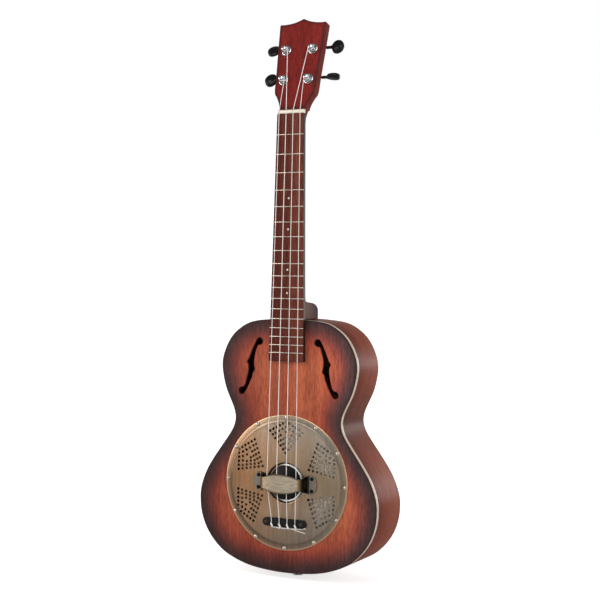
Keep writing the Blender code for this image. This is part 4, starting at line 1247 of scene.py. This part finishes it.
def make_post(name):
    """The turned string post with its wheel of teeth, and the string wound round it."""
    x, s = POSTS[name]
    body, back = f"{name}_spindle", HEADSTOCK_THICKNESS
    profile = [
        (0.0001, -0.0092), (0.0019, -0.0092), (0.0026, -0.0090), (POST_RADIUS, -0.0085),
        (POST_RADIUS, -0.0074), (POST_WAIST, -0.0062), (POST_WAIST, -0.0044), (POST_RADIUS, -0.0036),
        (POST_RADIUS, back + 0.0019),
    ]
    piece = Shape().turned(profile, 28, (x, 0.0, s))
    sections = []
    for y, size in ((0.0019, 0.92), (0.0023, 1.0), (0.0045, 1.0), (0.0049, 0.92)):
        teeth = [size * tooth for tooth in (WHEEL_TIP, WHEEL_TIP, WHEEL_ROOT, WHEEL_ROOT) * TEETH]
        sections.append(level(ring_of(lambda k: teeth[k], len(teeth), (x, s)), back + y))
    piece.loft(sections, look=1)
    piece.turned([(0.0020, 0.0048), (0.0020, 0.0054), (0.0014, 0.0058), (0.0001, 0.0058)], 24, (x, back, s))
    piece.to_object(f"{name}_spindle_post", "chrome wheel", f"{name}_post", body, leaned=True)
    radius = copysign(POST_WAIST + STRING_RADIUS * 0.9, -x)
    path = []
    for turn in (k / 24 for k in range(WINDING_TURNS * 24 + 1)):
        a = copysign(2 * pi * turn, -x)
        y = WINDING_DEPTH + 0.0008 * (turn - WINDING_TURNS / 2)
        path.append((x + radius * cos(a), y, s + radius * sin(a)))
    Shape().tube(path, STRING_RADIUS).to_object(f"{name}_winding", "string", body=body, leaned=True)


# The button's distance from the shaft's end, half height and half thickness
BUTTON_SECTIONS = [
    (0.0000, 0.0024, 0.0024), (0.0008, 0.0030, 0.0025), (0.0016, 0.0050, 0.0026), (0.0030, 0.0070, 0.0027),
    (0.0052, 0.0083, 0.0028), (0.0080, 0.0087, 0.0031), (0.0108, 0.0081, 0.0034), (0.0132, 0.0063, 0.0034),
    (0.0148, 0.0038, 0.0028), (0.0155, 0.0014, 0.0014),
]


THREAD_ROOT, THREAD_TIP = 0.0016, 0.0020


def make_knob(name):
    """The worm, its shaft and the button, built along +Y from the worm's middle, then turned to the side."""
    x, s = POSTS[name]
    body = f"{name}_knob"
    sideways = Matrix.Rotation(copysign(pi / 2, -x), 4, "Z")
    placing = Matrix.Translation((x, WORM_DEPTH, s + WORM_OFFSET)) @ sideways
    profile = [(0.0001, -0.0070), (0.0013, -0.0070), (0.0013, -0.0048)]
    for start in (-0.0048 + 0.0012 * k for k in range(8)):
        thread = [(THREAD_ROOT, 0.0), (THREAD_TIP, 0.0003), (THREAD_TIP, 0.0006), (THREAD_ROOT, 0.0009)]
        profile += [(radius, start + along) for radius, along in thread]
    profile += [(0.0013, 0.0048), (0.0013, 0.0100), (0.0019, 0.0102), (0.0019, SHAFT_END)]
    profile += [(0.0021, SHAFT_END + 0.0001), (0.0021, SHAFT_END + 0.0006)]
    shaft = Shape().turned(profile, 20).moved(placing)
    shaft.to_object(f"{name}_worm_shaft", "dark_chrome", f"{name}_shaft", body, leaned=True)
    spun = Matrix.Translation((0, SHAFT_END, 0)) @ Matrix.Rotation(radians(BUTTON_TURN[name]), 4, "Y")
    sections = []
    for along, tall, thick in smooth_path(BUTTON_SECTIONS, 5):
        sections.append([(thick * p.x, along, tall * p.y) for p in ring_of(1.0, 32)])
    button = Shape().loft(sections).moved(placing @ spun)
    button.to_object(f"{name}_oval_button", "black_plastic", f"{name}_button", body, angle=60, leaned=True)


def make_strap_button():
    """A turned button, built along +Z from its outer end."""
    low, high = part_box("strap_button")
    profile = [
        (0.0056, 0.0084), (0.0058, 0.0076), (0.0040, 0.0062), (0.0036, 0.0050), (0.0037, 0.0034),
        (0.0058, 0.0022), (0.0064, 0.0015), (0.0062, 0.0006), (0.0048, 0.0), (0.0016, 0.0001),
        (0.0001, 0.0006),
    ]
    sections = []
    for radius, up in smooth_path(profile, 3):
        ring = ring_of(radius, 36, (0.0, (low.y + high.y) / 2))
        sections.append([(p.x, p.y, low.z + up) for p in ring])
    Shape().loft(sections).to_object("strap_button_turned", "chrome", "strap_button", angle=40)


# ---------------------------------------------------------------- stage


CAMERA_PLACE = (0.68441, -1.35483, -0.21010)
CAMERA_AZIMUTH = radians(26.2215)
CAMERA_ELEVATION = radians(0.26996)
CAMERA_ROLL = radians(1.01482)
CAMERA_LENS = 78.01
SENSOR_WIDTH = 36.0

LIT_PLACE = Vector((0.0, 0.03, -0.25))
# Place, size, power and colour
SOFTBOXES = {
    "softbox_left": ((-1.75, -1.45, 0.25), (1.0, 1.7), 21, (1.0, 0.95, 0.90)),
    "softbox_right": ((1.7, -1.4, 0.2), (0.9, 1.6), 17, (1.0, 1.0, 1.0)),
    "softbox_top": ((-0.1, -1.9, 1.2), (1.4, 1.0), 15, (1.0, 1.0, 1.0)),
    "softbox_behind": ((0.85, 1.75, -0.12), (0.6, 0.5), 5, (1.0, 1.0, 1.0)),
}
FLOOR_SIZE = 6.0


def add_light(name, place, size, power, colour):
    data = bpy.data.lights.new(name, "AREA")
    data.shape = "RECTANGLE"
    data.size, data.size_y = size
    data.energy = power
    data.color = colour
    light = new_object(name, data)
    light.visible_camera = False
    light.location = place
    light.rotation_euler = (LIT_PLACE - Vector(place)).to_track_quat("-Z", "Y").to_euler()


def make_camera():
    data = bpy.data.cameras.new("photo_angle")
    data.lens = CAMERA_LENS
    data.sensor_width = SENSOR_WIDTH
    camera = new_object("photo_angle", data)
    camera.location = CAMERA_PLACE
    az, el = CAMERA_AZIMUTH, CAMERA_ELEVATION
    ahead = Vector((-sin(az) * cos(el), cos(az) * cos(el), -sin(el)))
    camera.rotation_mode = "QUATERNION"
    camera.rotation_quaternion = ahead.to_track_quat("-Z", "Y") @ Quaternion((0, 0, 1), CAMERA_ROLL)
    bpy.context.scene.camera = camera
    bpy.context.scene.view_settings.view_transform = "Standard"


def make_world():
    """A dim room that is bright behind the object, seen as a white backdrop."""
    world = bpy.data.worlds.new("studio")
    room = Nodes(world, "Generated")
    behind = room.along("Y", -0.4, 0.8, interpolation_type="SMOOTHSTEP")
    low = room.along("Z", 0.02, 0.35, 1.0, 0.15, interpolation_type="SMOOTHSTEP")
    light = room.math("MULTIPLY_ADD", behind, low, 0.2)
    seen = room.node("LightPath", out="Is Camera Ray")
    strength = room.math("MAXIMUM", light, seen)
    room.put(room.tree.nodes["Background"], {"Strength": strength, "Color": (1.0, 1.0, 1.0, 1.0)})
    bpy.context.scene.world = world


def make_floor():
    """A pale floor that glows towards the backdrop's white for the camera only."""
    look = Look("pale_floor", roughness=0.9, emission_color=(1.0, 1.0, 1.0, 1.0))
    seen = look.node("LightPath", out="Is Camera Ray")
    away = look.node("VectorMath", {0: look.place}, out="Value", operation="LENGTH")
    look.set(emission_strength=look.times(seen, look.spread(away, 0.25, 1.1, 0.55, 1.05)))
    look.set(base_color=look.mix(look.noise((8, 8, 8), 2.0), (0.80, 0.80, 0.80), (0.78, 0.78, 0.78)))
    corners = ((-1, -1), (1, -1), (1, 1), (-1, 1))
    data = bpy.data.meshes.new("floor")
    data.from_pydata([(FLOOR_SIZE * x, FLOOR_SIZE * y, cad_low.z) for x, y in corners], [], [(0, 1, 2, 3)])
    data.materials.append(look.material)
    new_object("floor", data)


def dress_inner_nodes():
    """The CAD pieces that only show through the openings keep their shape."""
    for name in ("neck_block", "tail_block", "lining_front", "lining_back", "soundboard_brace",
                 "back_brace_upper", "back_brace_lower", "soundwell"):
        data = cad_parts[name].data
        data.materials.clear()
        data.materials.append(LOOKS["bare"])


def main():
    make_soundboard()
    make_binding()
    make_side()
    make_back()
    make_neck()
    make_headstock()
    make_fingerboard()
    make_nut()
    make_coverplate()
    make_cover_screws()
    make_resonator()
    make_handrest()
    make_tailpiece()
    make_strings()
    make_ties()
    for name in POSTS:
        make_bushing(name)
        make_base_plate(name)
        make_post(name)
        make_knob(name)
    make_strap_button()
    dress_inner_nodes()
    for name, settings in SOFTBOXES.items():
        add_light(name, *settings)
    make_world()
    make_floor()
    make_camera()


main()
